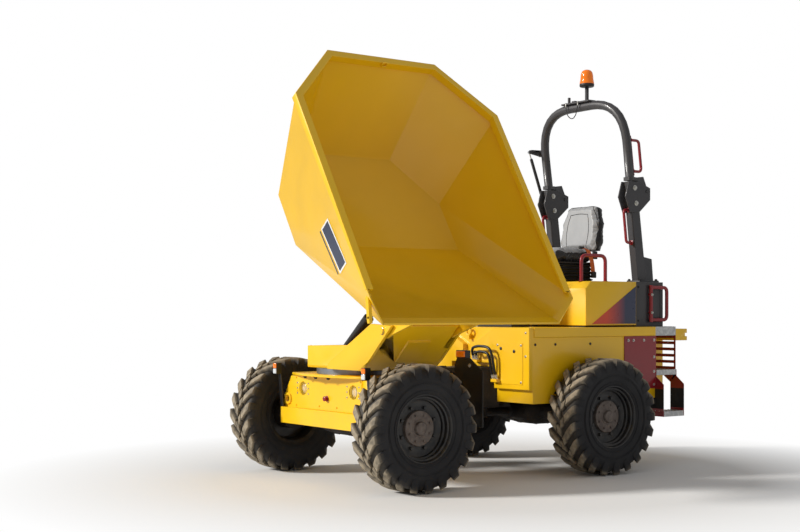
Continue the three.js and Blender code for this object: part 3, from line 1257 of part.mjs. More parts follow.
function addHoses(parent) {
  add(parent, 'hydraulic_hose_outer', hoseSolid(0), RUBBER);
  add(parent, 'hydraulic_hose_inner', hoseSolid(1), RUBBER);
}

function addSkipAssembly(parent) {
  const swivel = subgroup(parent, SWIVEL_X, 0, 0);
  swivel.rotation.z = SWIVEL_ANGLE;
  add(swivel, 'swivel_frame', swivelFrameSolid(), YELLOW);
  add(swivel, 'tip_barrel', tipBarrelSolid(), BLACK);
  add(swivel, 'tip_rod', tipRodSolid(), STEEL);
  const tip = subgroup(swivel, TIP_PIVOT_REACH, 0, TIP_PIVOT_Z);
  tip.rotation.y = TIP_ANGLE;
  add(tip, 'skip_tub', skipSolid(), YELLOW);
}

addRearChassis(machine);
addOperatorPlace(machine);
addHoop(machine);
addFrontChassis(machine);
addHoses(machine);
addSkipAssembly(machine);
addWheel(machine, 'front_left', 0, 1);
addWheel(machine, 'front_right', 0, -1);
addWheel(machine, 'rear_left', REAR_AXLE_X, 1);
addWheel(machine, 'rear_right', REAR_AXLE_X, -1);

// The origin is under the middle of the whole machine, on the ground.
const group = new THREE.Group();
group.add(machine);
group.updateMatrixWorld(true);
const box = new THREE.Box3().setFromObject(machine, true);
machine.position.set(-(box.min.x + box.max.x) / 2, -(box.min.y + box.max.y) / 2, -box.min.z);

export default group;
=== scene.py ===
"""Site dumper with a swivelling, tipping skip: its finishes, tyres, seat, lamps, fittings and studio.

Lengths are in millimetres from the ground under the middle of the front axle: x forward, y to the
driver's left, z up. `at` turns such a point into metres in the model's own frame."""
import json
import math

import bmesh
import bpy
from bpy.props import FloatProperty, FloatVectorProperty, IntProperty, PointerProperty
from mathutils import Euler, Matrix, Vector
from mathutils.bvhtree import BVHTree


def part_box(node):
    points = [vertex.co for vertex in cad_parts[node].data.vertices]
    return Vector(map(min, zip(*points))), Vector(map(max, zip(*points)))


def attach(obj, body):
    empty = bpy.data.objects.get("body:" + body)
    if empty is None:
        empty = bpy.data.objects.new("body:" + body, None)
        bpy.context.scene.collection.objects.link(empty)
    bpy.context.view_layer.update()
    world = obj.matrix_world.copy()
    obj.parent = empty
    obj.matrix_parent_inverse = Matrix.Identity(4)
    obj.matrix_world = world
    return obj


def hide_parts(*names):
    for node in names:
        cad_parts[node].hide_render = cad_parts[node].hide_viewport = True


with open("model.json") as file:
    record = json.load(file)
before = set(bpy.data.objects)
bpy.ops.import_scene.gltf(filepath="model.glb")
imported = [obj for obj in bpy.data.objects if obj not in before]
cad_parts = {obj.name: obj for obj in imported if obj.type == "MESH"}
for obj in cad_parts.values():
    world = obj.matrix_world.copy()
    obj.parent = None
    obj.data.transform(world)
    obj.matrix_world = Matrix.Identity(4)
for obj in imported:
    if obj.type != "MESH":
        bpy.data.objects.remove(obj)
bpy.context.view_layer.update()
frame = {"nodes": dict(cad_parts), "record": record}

bl_info = {
    "name": "Site Dumper",
    "version": (1, 0, 0),
    "blender": (4, 5, 0),
    "location": "3D View > Sidebar > Site Dumper",
    "description": "Finishes and details a swivel-skip site dumper around its CAD frame",
    "category": "Add Mesh",
}

MM = 0.001
BODY_OF = {node: body for body, nodes in frame["record"]["behaviour"]["bodies"].items() for node in nodes}
RIM_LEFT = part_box("rim_front_left")
RIM_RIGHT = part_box("rim_front_right")
AXLE = Vector((
    (RIM_LEFT[0].x + RIM_LEFT[1].x) / 2,
    (RIM_LEFT[1].y + RIM_RIGHT[0].y) / 2,
    0,
))
GROUND = Matrix.Translation(AXLE) @ Matrix.Scale(MM, 4)


def at(x, y, z):
    return GROUND @ Vector((x, y, z))


WHEELBASE = 1835
WHEEL_Y = 865
AXLE_Z = 455
HOOD_HALF = 625
HOOD_TOP_Z = 1522
SWIVEL_X = -100
TIP_REACH = 800
TIP_Z = 1140
TIP_ANGLE = math.radians(57.2)
POST_Y = 500
BEACON_Y = 80
HEADLIGHT_Y = 345
HEADLIGHT_Z = 685
HEADLIGHT_HOLE = 52
MARKER_Y = 612
PANEL_FACE_X = 173
BODY_FACE_X = -1227.5
DOOR_FACE_X = -1223.5

# The turntable stands swivelled to the left: its own forward is the machine's left.
TURNTABLE = GROUND @ Matrix.Translation((SWIVEL_X, 0, 0)) @ Matrix.Rotation(math.pi / 2, 4, "Z")
SKIP = TURNTABLE @ Matrix.Translation((TIP_REACH, 0, TIP_Z)) @ Matrix.Rotation(TIP_ANGLE, 4, "Y")
WHEELS = {
    "front_left": (0, 1), "front_right": (0, -1),
    "rear_left": (-WHEELBASE, 1), "rear_right": (-WHEELBASE, -1),
}


# ---- sizes and colours --------------------------------------------------------------------------
def linear(colour):
    """Linear RGBA of an sRGB hex colour."""
    channels = [int(colour[i:i + 2], 16) / 255 for i in (0, 2, 4)]
    return [c / 12.92 if c <= 0.04045 else ((c + 0.055) / 1.055) ** 2.4 for c in channels] + [1.0]


def colour_property(name, description, colour):
    return FloatVectorProperty(
        name=name, description=description, subtype="COLOR", size=4, min=0, max=1, default=linear(colour))


class DumperPaint(bpy.types.PropertyGroup):
    yellow: colour_property("Yellow", "Enamel of the skip, body and frame", "F7C40A")
    grey: colour_property("Graphite", "Enamel of the roll-over frame", "3B3A3D")
    red: colour_property("Red", "Enamel of handles and steps", "8E0E1C")
    black: colour_property("Black", "Enamel of the wheels and rams", "151518")
    # grey of the seat's front, which is partly a painted highlight: the lit top and front of the dark seat
    # drawn lighter
    vinyl: colour_property("Seat facing", "Vinyl on the front of the seat", "A9ABAE")


class DumperTyre(bpy.types.PropertyGroup):
    lugs: IntProperty(name="Lugs", description="Lug bars round each shoulder", default=21, min=12, max=40)


class DumperSeat(bpy.types.PropertyGroup):
    swell: FloatProperty(
        name="Swell", description="Furthest that the padding may move, in metres",
        default=0.024, min=0.0, max=0.05, unit="LENGTH")
    pressure: FloatProperty(name="Pressure", description="Cloth pressure in the padding", default=4.0, min=0)


class DumperStudio(bpy.types.PropertyGroup):
    azimuth: FloatProperty(
        name="Azimuth", description="Turn of the view from the machine's left side towards its front",
        default=math.radians(36), subtype="ANGLE")
    height: FloatProperty(name="Height", description="Camera above the ground", default=1.269, unit="LENGTH")
    lens: FloatProperty(name="Lens", description="Focal length on a 36 mm sensor, in millimetres",
                        default=59.8)
    rise: FloatProperty(name="Rise", description="Vertical shift that frames the raised skip", default=0.058)
    sun: FloatProperty(name="Sun", description="Strength of the main light", default=3.4, min=0)
    fill: FloatProperty(name="Fill", description="Strength of the light from all round", default=0.36, min=0)


SETTINGS = {
    "dumper_paint": DumperPaint, "dumper_tyre": DumperTyre,
    "dumper_seat": DumperSeat, "dumper_studio": DumperStudio,
}


# ---- node trees ---------------------------------------------------------------------------------
def put(tree, kind, links=None, **settings):
    """Adds a node with its settings, and sets or links its inputs."""
    node = tree.nodes.new(kind)
    for name, value in settings.items():
        setattr(node, name, value)
    for socket, value in (links or {}).items():
        if isinstance(value, bpy.types.NodeSocket):
            tree.links.new(value, node.inputs[socket])
        else:
            node.inputs[socket].default_value = value
    return node


def noise(tree, size_mm, detail=2.0, stretch=(1, 1, 1)):
    """Noise whose largest features are about size_mm across."""
    place = put(tree, "ShaderNodeTexCoord").outputs["Object"]
    if stretch != (1, 1, 1):
        place = put(tree, "ShaderNodeMapping", {"Vector": place, "Scale": stretch}).outputs["Vector"]
    return put(
        tree, "ShaderNodeTexNoise", {"Vector": place, "Scale": 1000 / size_mm, "Detail": detail}
    ).outputs["Fac"]


def between(tree, value, low, high, start=0.0, stop=1.0):
    return put(tree, "ShaderNodeMapRange", {
        "Value": value, "From Min": low, "From Max": high, "To Min": start, "To Max": stop,
    }).outputs["Result"]


def mix_colour(tree, share, first, second):
    node = put(tree, "ShaderNodeMix", data_type="RGBA")
    for index, value in ((0, share), (6, first), (7, second)):
        if isinstance(value, bpy.types.NodeSocket):
            tree.links.new(value, node.inputs[index])
        else:
            node.inputs[index].default_value = value
    return node.outputs[2]


def times(tree, first, second):
    return put(tree, "ShaderNodeMath", {0: first, 1: second}, operation="MULTIPLY").outputs[0]


def bumped(tree, height, depth_mm, under=None):
    links = {"Height": height, "Distance": depth_mm * MM, "Strength": 1.0}
    if under is not None:
        links["Normal"] = under
    return put(tree, "ShaderNodeBump", links).outputs["Normal"]


def height_above_ground(tree):
    place = put(tree, "ShaderNodeTexCoord").outputs["Object"]
    return put(tree, "ShaderNodeSeparateXYZ", {"Vector": place}).outputs["Z"]


def finish(name, build):
    """The material of that name, built the first time that it is asked for."""
    material = bpy.data.materials.get(name)
    if material is None:
        material = bpy.data.materials.new(name)
        material.use_nodes = True
        material.node_tree.nodes.clear()
        shader = put(material.node_tree, "ShaderNodeBsdfPrincipled")
        put(material.node_tree, "ShaderNodeOutputMaterial", {"Surface": shader.outputs[0]})
        build(material.node_tree, shader)
    return material


def dress(tree, shader, **values):
    """Sets or links the shader's sockets, named with underscores for spaces."""
    for name, value in values.items():
        socket = shader.inputs[name.replace("_", " ")]
        if isinstance(value, bpy.types.NodeSocket):
            tree.links.new(value, socket)
        else:
            socket.default_value = value


def shade(colour, factor):
    return [channel * factor for channel in colour[:3]] + [1.0]


# ---- finishes -----------------------------------------------------------------------------------
def sprayed_enamel(tree, shader, colour, rough, coat=0.35, dust="8A7B62", dust_share=0.16):
    """Two-pack enamel sprayed on steel sheet: soft orange peel, slight sheet waves, a film of site dust."""
    cloud = noise(tree, 700, 3)
    base = mix_colour(tree, between(tree, cloud, 0.35, 0.7), shade(colour, 0.95), shade(colour, 1.03))
    low = between(tree, height_above_ground(tree), 0.75, 0.3)
    speckle = times(tree, between(tree, noise(tree, 60, 6), 0.4, 0.75), low)
    base = mix_colour(tree, times(tree, speckle, dust_share), base, linear(dust))
    # peel is drawn at 7 mm, coarser than the real 2 mm, so that it shows
    peel = bumped(tree, noise(tree, 7, 1), 0.02)
    waves = bumped(tree, noise(tree, 420, 1), 1.6, peel)
    dress(
        tree, shader, Base_Color=base,
        Roughness=between(tree, noise(tree, 180, 4), 0.3, 0.7, rough, rough + 0.12),
        Normal=waves, Coat_Weight=coat, Coat_Roughness=0.12, IOR=1.5)


def yellow_enamel():
    colour = bpy.context.scene.dumper_paint.yellow
    return finish("yellow_enamel_sprayed", lambda t, s: sprayed_enamel(t, s, colour, 0.3))


def graphite_enamel():
    colour = bpy.context.scene.dumper_paint.grey
    return finish("graphite_enamel_sprayed", lambda t, s: sprayed_enamel(t, s, colour, 0.4, 0.15))


def red_enamel():
    colour = bpy.context.scene.dumper_paint.red
    return finish("red_enamel_sprayed", lambda t, s: sprayed_enamel(t, s, colour, 0.3, 0.4))


def black_enamel():
    colour = bpy.context.scene.dumper_paint.black
    return finish("black_enamel_sprayed", lambda t, s: sprayed_enamel(t, s, colour, 0.38, 0.2, "6B6152", 0.3))


def cast_iron():
    """Sand-cast housings under black primer: grainy skin, rust-brown dust in patches."""
    def build(tree, shader):
        grain = noise(tree, 9, 5)
        base = mix_colour(tree, between(tree, noise(tree, 130, 5), 0.4, 0.75), linear("1C1A19"),
                          linear("3A322B"))
        dress(tree, shader, Base_Color=base, Roughness=between(tree, grain, 0.3, 0.7, 0.55, 0.8),
              Metallic=0.25, Normal=bumped(tree, grain, 0.5))
    return finish("cast_iron_primed", build)


def tyre_rubber():
    """Moulded tyre compound: near black, with pale dried mud on the lug tops by the crown attribute."""
    def build(tree, shader):
        crown = put(tree, "ShaderNodeAttribute", attribute_name="crown").outputs["Fac"]
        patches = between(tree, noise(tree, 45, 6), 0.34, 0.62)
        dusty = times(tree, crown, between(tree, patches, 0, 1, 0.45, 1.0))
        side = mix_colour(tree, between(tree, noise(tree, 160, 5), 0.4, 0.8), linear("17171B"),
                          linear("252527"))
        base = mix_colour(tree, dusty, side, linear("A09480"))
        grain = bumped(tree, noise(tree, 5, 4), 0.35)
        dress(tree, shader, Base_Color=base, Roughness=between(tree, dusty, 0, 1, 0.62, 0.92),
              Normal=grain, Specular_IOR_Level=0.4)
    return finish("tyre_rubber_moulded", build)


def hub_steel():
    """Machined hub face dulled by brown road film."""
    def build(tree, shader):
        film = between(tree, noise(tree, 35, 5), 0.35, 0.7)
        dress(tree, shader, Base_Color=mix_colour(tree, film, linear("5B504A"), linear("7A7069")),
              Roughness=between(tree, film, 0, 1, 0.42, 0.65), Metallic=0.35,
              Normal=bumped(tree, noise(tree, 3, 3), 0.15))
    return finish("hub_steel_filmed", build)


def zinc():
    """Zinc-plated fasteners: bright, faintly mottled."""
    def build(tree, shader):
        mottle = noise(tree, 6, 3)
        dress(tree, shader, Base_Color=mix_colour(tree, mottle, linear("B9B7B0"), linear("DEDDD8")),
              Metallic=1.0, Roughness=between(tree, mottle, 0.3, 0.7, 0.28, 0.42))
    return finish("zinc_plated_steel", build)


def turned_steel():
    """Ground and oiled steel of the slewing ring."""
    def build(tree, shader):
        rings = noise(tree, 8, 2, (1, 1, 9))
        dress(tree, shader, Base_Color=mix_colour(tree, noise(tree, 60, 4), linear("6E737A"),
                                                  linear("A3A7AC")),
              Metallic=0.9, Roughness=between(tree, rings, 0.3, 0.7, 0.3, 0.5),
              Normal=bumped(tree, rings, 0.1))
    return finish("slewing_ring_steel_ground", build)


def chrome():
    """Hard chrome of the ram rods."""
    def build(tree, shader):
        dress(tree, shader, Base_Color=linear("D5D7DA"), Metallic=1.0,
              Roughness=between(tree, noise(tree, 20, 3), 0.3, 0.7, 0.08, 0.16))
    return finish("ram_rod_hard_chrome", build)


def tread_aluminium():
    """Rolled aluminium tread plate: matt, fine rolling lines, scuffed pale."""
    def build(tree, shader):
        lines = noise(tree, 30, 3, (1, 14, 1))
        scuff = between(tree, noise(tree, 25, 6), 0.4, 0.7)
        dress(tree, shader, Base_Color=mix_colour(tree, scuff, linear("B4B6B8"), linear("D6D7D6")),
              Metallic=0.75,
              Roughness=between(tree, lines, 0.3, 0.7, 0.38, 0.55), Normal=bumped(tree, lines, 0.08))
    return finish("tread_aluminium_rolled", build)


def black_plastic():
    """Moulded ABS with a fine leather grain."""
    def build(tree, shader):
        place = put(tree, "ShaderNodeTexCoord").outputs["Object"]
        cells = put(tree, "ShaderNodeTexVoronoi", {"Vector": place, "Scale": 1000 / 4.0}).outputs["Distance"]
        base = mix_colour(tree, noise(tree, 120, 3), linear("17171A"), linear("26262A"))
        dress(tree, shader, Base_Color=base, Roughness=0.5, Normal=bumped(tree, cells, 0.18))
    return finish("black_abs_moulded", build)


def bellows_rubber():
    """Moulded rubber of the bellows and flaps: matt with a dusty bloom."""
    def build(tree, shader):
        bloom = between(tree, noise(tree, 70, 5), 0.45, 0.8)
        dress(tree, shader, Base_Color=mix_colour(tree, bloom, linear("131315"), linear("2C2B2B")),
              Roughness=0.7, Normal=bumped(tree, noise(tree, 4, 3), 0.2))
    return finish("black_rubber_moulded", build)


def hose_rubber():
    """Wrapped hydraulic hose: cloth-pattern cover, a slight sheen."""
    def build(tree, shader):
        place = put(tree, "ShaderNodeTexCoord").outputs["Object"]
        wrap = put(tree, "ShaderNodeTexWave", {
            "Vector": place, "Scale": 1000 / 5.0 / 6.283, "Distortion": 0.6},
            bands_direction="DIAGONAL").outputs["Fac"]
        dress(tree, shader, Base_Color=mix_colour(tree, wrap, linear("121214"), linear("202023")),
              Roughness=0.45, Normal=bumped(tree, wrap, 0.25))
    return finish("hose_rubber_wrapped", build)


def seat_vinyl():
    """Vinyl cover with a fine grain; an attribute parts the grey front from the black sides. The grey front
    is partly a lighter vinyl panel between the seams and partly a painted highlight on the lit top and front
    of the dark seat.
    """
    def build(tree, shader):
        facing = put(tree, "ShaderNodeAttribute", attribute_name="facing").outputs["Fac"]
        place = put(tree, "ShaderNodeTexCoord").outputs["Object"]
        grain = put(tree, "ShaderNodeTexVoronoi", {"Vector": place, "Scale": 1000 / 3.5}).outputs["Distance"]
        grey = list(bpy.context.scene.dumper_paint.vinyl)
        soft = mix_colour(tree, noise(tree, 90, 3), shade(grey, 0.74), shade(grey, 0.94))
        # the grey front against the black sides is partly a painted highlight on the seat's lit top and front
        base = mix_colour(tree, between(tree, facing, 0.45, 0.55), linear("19191B"), soft)
        dress(tree, shader, Base_Color=base, Roughness=between(tree, noise(tree, 60, 4), 0.3, 0.7, 0.36, 0.5),
              Normal=bumped(tree, grain, 0.15), Sheen_Weight=0.1)
    return finish("seat_vinyl_grained", build)


def piping():
    """Black welt cord sewn into the seams."""
    def build(tree, shader):
        dress(tree, shader, Base_Color=mix_colour(tree, noise(tree, 8, 2), linear("0D0D0F"),
                                                  linear("1A1A1C")),
              Roughness=0.55, Normal=bumped(tree, noise(tree, 3, 2), 0.2))
    return finish("welt_cord_sewn", build)


def webbing():
    """Woven high-visibility belt."""
    def build(tree, shader):
        rib = noise(tree, 6, 1, (1, 5, 1))
        dress(tree, shader, Base_Color=mix_colour(tree, rib, linear("C4561C"), linear("E0752F")),
              Roughness=0.7, Normal=bumped(tree, rib, 0.3), Sheen_Weight=0.2)
    return finish("belt_webbing_woven", build)


def lens(name, colour, rough=0.12, glow=0.0):
    """Moulded lamp lens: coloured plastic with fine flutes."""
    def build(tree, shader):
        flutes = noise(tree, 9, 0, (1, 4, 0.3))
        tone = linear(colour)
        dress(tree, shader, Base_Color=mix_colour(tree, flutes, shade(tone, 0.85), tone), Roughness=rough,
              Normal=bumped(tree, flutes, 0.3), Coat_Weight=0.6, Coat_Roughness=0.05,
              Emission_Color=tone, Emission_Strength=glow)
    return finish(name, build)


def amber_lens():
    # the slight glow also falls on the swivel reflector, which is no lamp: there it is a painted glow
    return lens("amber_polycarbonate_moulded", "F07800", 0.14, 0.18)


def red_lens():
    return lens("red_polycarbonate_moulded", "B01015")


def clear_lens():
    return lens("clear_polycarbonate_moulded", "DDE3E8", 0.08)


def reflector():
    """Vacuum-metallised reflector bowl."""
    def build(tree, shader):
        dress(tree, shader, Base_Color=linear("E2E3E4"), Metallic=1.0,
              Roughness=between(tree, noise(tree, 12, 2), 0.3, 0.7, 0.1, 0.2))
    return finish("reflector_metallised", build)


def dark_film():
    """Plain dark vinyl panel, left blank."""
    def build(tree, shader):
        dress(tree, shader, Base_Color=mix_colour(tree, noise(tree, 300, 2), linear("1F2A44"),
                                                  linear("2A3550")),
              Roughness=0.3, Coat_Weight=0.3, Coat_Roughness=0.1)
    return finish("vinyl_film_dark", build)


def pale_film():
    """Plain white vinyl border."""
    def build(tree, shader):
        dress(tree, shader, Base_Color=mix_colour(tree, noise(tree, 200, 2), linear("DCDDDC"),
                                                  linear("ECECEA")),
              Roughness=0.35)
    return finish("vinyl_film_white", build)


def fading_film():
    """Plain film on the hood that fades from red at its tip to dark blue."""
    def build(tree, shader):
        place = put(tree, "ShaderNodeTexCoord").outputs["Object"]
        along = put(tree, "ShaderNodeSeparateXYZ", {"Vector": place}).outputs["X"]
        rear, front = at(-2340, 0, 0).x, at(-2130, 0, 0).x
        tip = mix_colour(tree, between(tree, along, rear, front), linear("2B3350"), linear("D2451F"))
        dress(tree, shader, Base_Color=tip, Roughness=between(tree, noise(tree, 60, 3), 0.3, 0.7, 0.26, 0.36),
              Coat_Weight=0.3, Coat_Roughness=0.1)
    return finish("vinyl_film_fading", build)


# ---- shapes -------------------------------------------------------------------------------------
def block(mesh, x, y, z):
    corners = [mesh.verts.new((x[i], y[j], z[k])) for i in (0, 1) for j in (0, 1) for k in (0, 1)]
    for a, b, c, d in ((0, 1, 3, 2), (4, 6, 7, 5), (0, 4, 5, 1), (2, 3, 7, 6), (0, 2, 6, 4), (1, 5, 7, 3)):
        mesh.faces.new([corners[i] for i in (a, b, c, d)])


def prism(mesh, outline, span, axis="y"):
    """An outline of (a, b) points in the plane across the axis, extruded along it."""
    spread = {
        "x": lambda a, b, t: (t, a, b), "y": lambda a, b, t: (a, t, b), "z": lambda a, b, t: (a, b, t)}[axis]
    rings = [[mesh.verts.new(spread(a, b, t)) for a, b in outline] for t in span]
    mesh.faces.new(rings[0])
    mesh.faces.new(rings[1][::-1])
    count = len(outline)
    for i in range(count):
        j = (i + 1) % count
        mesh.faces.new((rings[0][i], rings[1][i], rings[1][j], rings[0][j]))


def lathe(mesh, profile, place=Matrix.Identity(4), sides=64, closed=False):
    """A profile of (radius, height) points turned about the local y axis."""
    rings = []
    for radius, height in profile:
        if radius < 1e-6:
            rings.append([mesh.verts.new(place @ Vector((0, height, 0)))])
            continue
        turn = [2 * math.pi * i / sides for i in range(sides)]
        rings.append([
            mesh.verts.new(place @ Vector((radius * math.cos(a), height, radius * math.sin(a))))
            for a in turn])
    pairs = list(zip(rings, rings[1:]))
    if closed:
        pairs.append((rings[-1], rings[0]))
    for first, second in pairs:
        for i in range(sides):
            j = (i + 1) % sides
            corners = [first[i % len(first)], first[j % len(first)], second[j % len(second)],
                       second[i % len(second)]]
            unique = list(dict.fromkeys(corners))
            if len(unique) > 2:
                mesh.faces.new(unique)
    if not closed:
        for ring in (rings[0], rings[-1]):
            if len(ring) > 2:
                mesh.faces.new(ring)


def along(axis, x, y, z):
    """Turns the lathe's y axis to x, y or z and moves it to a point."""
    turn = {"x": Matrix.Rotation(-math.pi / 2, 4, "Z"), "y": Matrix.Identity(4),
            "z": Matrix.Rotation(math.pi / 2, 4, "X")}[axis]
    return Matrix.Translation((x, y, z)) @ turn


def rounded_path(corners, bend, steps=7):
    """Straight runs between corners, with arcs of that bend."""
    corners = [Vector(c) for c in corners]
    path = [corners[0]]
    for before, corner, after in zip(corners, corners[1:], corners[2:]):
        back = (before - corner).normalized()
        ahead = (after - corner).normalized()
        half = back.angle(ahead) / 2
        reach = min(bend / math.tan(half), (before - corner).length * 0.49, (after - corner).length * 0.49)
        start, stop = corner + back * reach, corner + ahead * reach
        for i in range(steps + 1):
            t = i / steps
            path.append((1 - t) ** 2 * start + 2 * t * (1 - t) * corner + t * t * stop)
    path.append(corners[-1])
    return path


def tube(mesh, path, radius, sides=16):
    """A round tube along a path, with closed ends."""
    path = [Vector(p) for p in path]
    side = None
    rings = []
    for i, point in enumerate(path):
        ahead = (path[min(i + 1, len(path) - 1)] - path[max(i - 1, 0)]).normalized()
        if side is None:
            side = ahead.orthogonal().normalized()
        side = (side - ahead * side.dot(ahead)).normalized()
        up = ahead.cross(side)
        rings.append([
            mesh.verts.new(point + radius * (side * math.cos(a) + up * math.sin(a)))
            for a in (2 * math.pi * k / sides for k in range(sides))])
    for first, second in zip(rings, rings[1:]):
        for k in range(sides):
            j = (k + 1) % sides
            mesh.faces.new((first[k], first[j], second[j], second[k]))
    mesh.faces.new(rings[0][::-1])
    mesh.faces.new(rings[-1])


def chamfered(mesh, width, angle=28):
    """Takes the sharp edges off, as a fabricator's grinder and the paint do."""
    sharp = [
        e for e in mesh.edges
        if len(e.link_faces) == 2 and e.calc_face_angle(0) > math.radians(angle)
        and e.calc_length() > width * 1.5]
    if sharp and width:
        bmesh.ops.bevel(mesh, geom=sharp, offset=width, segments=1, affect="EDGES", clamp_overlap=False)


def shown(name, mesh, material, smooth=35):
    """An object at the origin from a mesh that is already in metres."""
    data = bpy.data.meshes.new(name)
    mesh.to_mesh(data)
    mesh.free()
    thing = bpy.data.objects.new(name, data)
    bpy.context.scene.collection.objects.link(thing)
    for item in material if isinstance(material, (list, tuple)) else [material]:
        data.materials.append(item)
    data.shade_smooth()
    data.set_sharp_from_angle(angle=math.radians(smooth))
    return thing


def piece(name, mesh, material, body, slot, place=GROUND, chamfer=0.0, smooth=35, replaced=()):
    """Finishes a mesh in millimetres and lets it ride on its body."""
    bmesh.ops.recalc_face_normals(mesh, faces=mesh.faces[:])
    if chamfer:
        chamfered(mesh, chamfer)
    mesh.transform(place)
    thing = shown(name, mesh, material, smooth)
    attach(thing, body)
    if replaced:
        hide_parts(*replaced)
    return thing


def made(name, shape, sizes, material, body, slot, *more, **settings):
    """A piece of a single shape."""
    mesh = bmesh.new()
    shape(mesh, *sizes)
    return piece(name, mesh, material, body, slot, *more, **settings)


def refined(node, material, chamfer=2.0, smooth=35, cuts=(), also=()):
    """The CAD node's own shape with its edges eased, in place of the plain solid.

    cuts are (axis, millimetres) planes that part its faces, and also lists (material, test of a face's
    middle in millimetres) for the parts in another finish."""
    mesh = bmesh.new()
    mesh.from_mesh(frame["nodes"][node].data)
    bmesh.ops.remove_doubles(mesh, verts=mesh.verts[:], dist=0.02 * MM)
    bmesh.ops.dissolve_limit(
        mesh, angle_limit=math.radians(0.6), verts=mesh.verts[:], edges=mesh.edges[:],
        use_dissolve_boundaries=False)
    mesh.transform(GROUND.inverted())
    for axis, value in cuts:
        normal = Vector([1.0 if axis == name else 0.0 for name in "xyz"])
        bmesh.ops.bisect_plane(
            mesh, geom=mesh.verts[:] + mesh.edges[:] + mesh.faces[:], plane_co=normal * value,
            plane_no=normal)
    chamfered(mesh, chamfer)
    for index, (_, test) in enumerate(also, 1):
        for face in mesh.faces:
            if test(face.calc_center_median()):
                face.material_index = index
    mesh.transform(GROUND)
    thing = shown(node + "_finished", mesh, [material] + [item for item, _ in also], smooth)
    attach(thing, BODY_OF[node])
    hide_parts(node)
    return thing


# ---- repeated fittings --------------------------------------------------------------------------
def repeat_tree():
    """Puts a unit on each point, turned by the point's own turn, and makes it real."""
    tree = bpy.data.node_groups.get("Repeated fittings")
    if tree:
        return tree
    tree = bpy.data.node_groups.new("Repeated fittings", "GeometryNodeTree")
    tree.interface.new_socket("Geometry", in_out="INPUT", socket_type="NodeSocketGeometry")
    tree.interface.new_socket("Unit", in_out="INPUT", socket_type="NodeSocketObject")
    tree.interface.new_socket("Size", in_out="INPUT", socket_type="NodeSocketFloat")
    tree.interface.new_socket("Finish", in_out="INPUT", socket_type="NodeSocketMaterial")
    tree.interface.new_socket("Geometry", in_out="OUTPUT", socket_type="NodeSocketGeometry")
    given = put(tree, "NodeGroupInput").outputs
    unit = put(tree, "GeometryNodeObjectInfo", {"Object": given["Unit"]}).outputs["Geometry"]
    turn = put(tree, "GeometryNodeInputNamedAttribute", {"Name": "turn"}, data_type="FLOAT_VECTOR").outputs[0]
    placed = put(tree, "GeometryNodeInstanceOnPoints", {
        "Points": given["Geometry"], "Instance": unit, "Rotation": turn, "Scale": given["Size"]})
    real = put(tree, "GeometryNodeRealizeInstances", {"Geometry": placed.outputs[0]})
    dressed = put(tree, "GeometryNodeSetMaterial", {"Geometry": real.outputs[0], "Material": given["Finish"]})
    put(tree, "NodeGroupOutput", {"Geometry": dressed.outputs[0]})
    return tree


def repeated(name, unit, places, material, body, size=1.0, frame_of=GROUND, smooth=35):
    """One piece of many like units. unit is a mesh in metres with its foot at the origin and its head
    along +Z; places are (point in millimetres, Euler turn)."""
    bmesh.ops.recalc_face_normals(unit, faces=unit.faces[:])
    model = shown(name + "_unit", unit, material, smooth)
    points = bpy.data.meshes.new(name + "_points")
    points.from_pydata([frame_of @ Vector(p) for p, _ in places], [], [])
    turns = points.attributes.new("turn", "FLOAT_VECTOR", "POINT")
    turned = frame_of.to_3x3().normalized()
    for i, (_, euler) in enumerate(places):
        turns.data[i].vector = (turned @ euler.to_matrix()).to_euler()
    carrier = bpy.data.objects.new(name + "_carrier", points)
    bpy.context.scene.collection.objects.link(carrier)
    tree = repeat_tree()
    modifier = carrier.modifiers.new("Repeated", "NODES")
    modifier.node_group = tree
    sockets = {item.name: item.identifier for item in tree.interface.items_tree if item.in_out == "INPUT"}
    modifier[sockets["Unit"]] = model
    modifier[sockets["Size"]] = size
    modifier[sockets["Finish"]] = material
    ready = carrier.evaluated_get(bpy.context.evaluated_depsgraph_get())
    data = bpy.data.meshes.new_from_object(ready)
    data.name = name
    thing = bpy.data.objects.new(name, data)
    bpy.context.scene.collection.objects.link(thing)
    if not data.materials:
        data.materials.append(material)
    data.shade_smooth()
    data.set_sharp_from_angle(angle=math.radians(smooth))
    for spare in (carrier, model):
        bpy.data.objects.remove(spare)
    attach(thing, body)
    return thing


FACING = {
    "+x": Euler((0, math.pi / 2, 0)), "-x": Euler((0, -math.pi / 2, 0)), "+y": Euler((-math.pi / 2, 0, 0)),
    "-y": Euler((math.pi / 2, 0, 0)), "+z": Euler((0, 0, 0)), "-z": Euler((math.pi, 0, 0)),
}


def hexagon_bolt(across=13.0, washer=1.4):
    """Hexagon head with a chamfered top on a round washer, in metres."""
    mesh = bmesh.new()
    upright = along("z", 0, 0, 0)
    radius = across / math.sqrt(3)
    lathe(mesh, [(0, 0), (across * 0.92, 0), (across * 0.92, washer), (0, washer)], upright, 20)
    lathe(mesh, [(0, washer), (radius, washer), (radius, washer + across * 0.5),
                 (radius * 0.84, washer + across * 0.6), (0, washer + across * 0.6)], upright, 6)
    mesh.transform(Matrix.Scale(MM, 4))
    return mesh


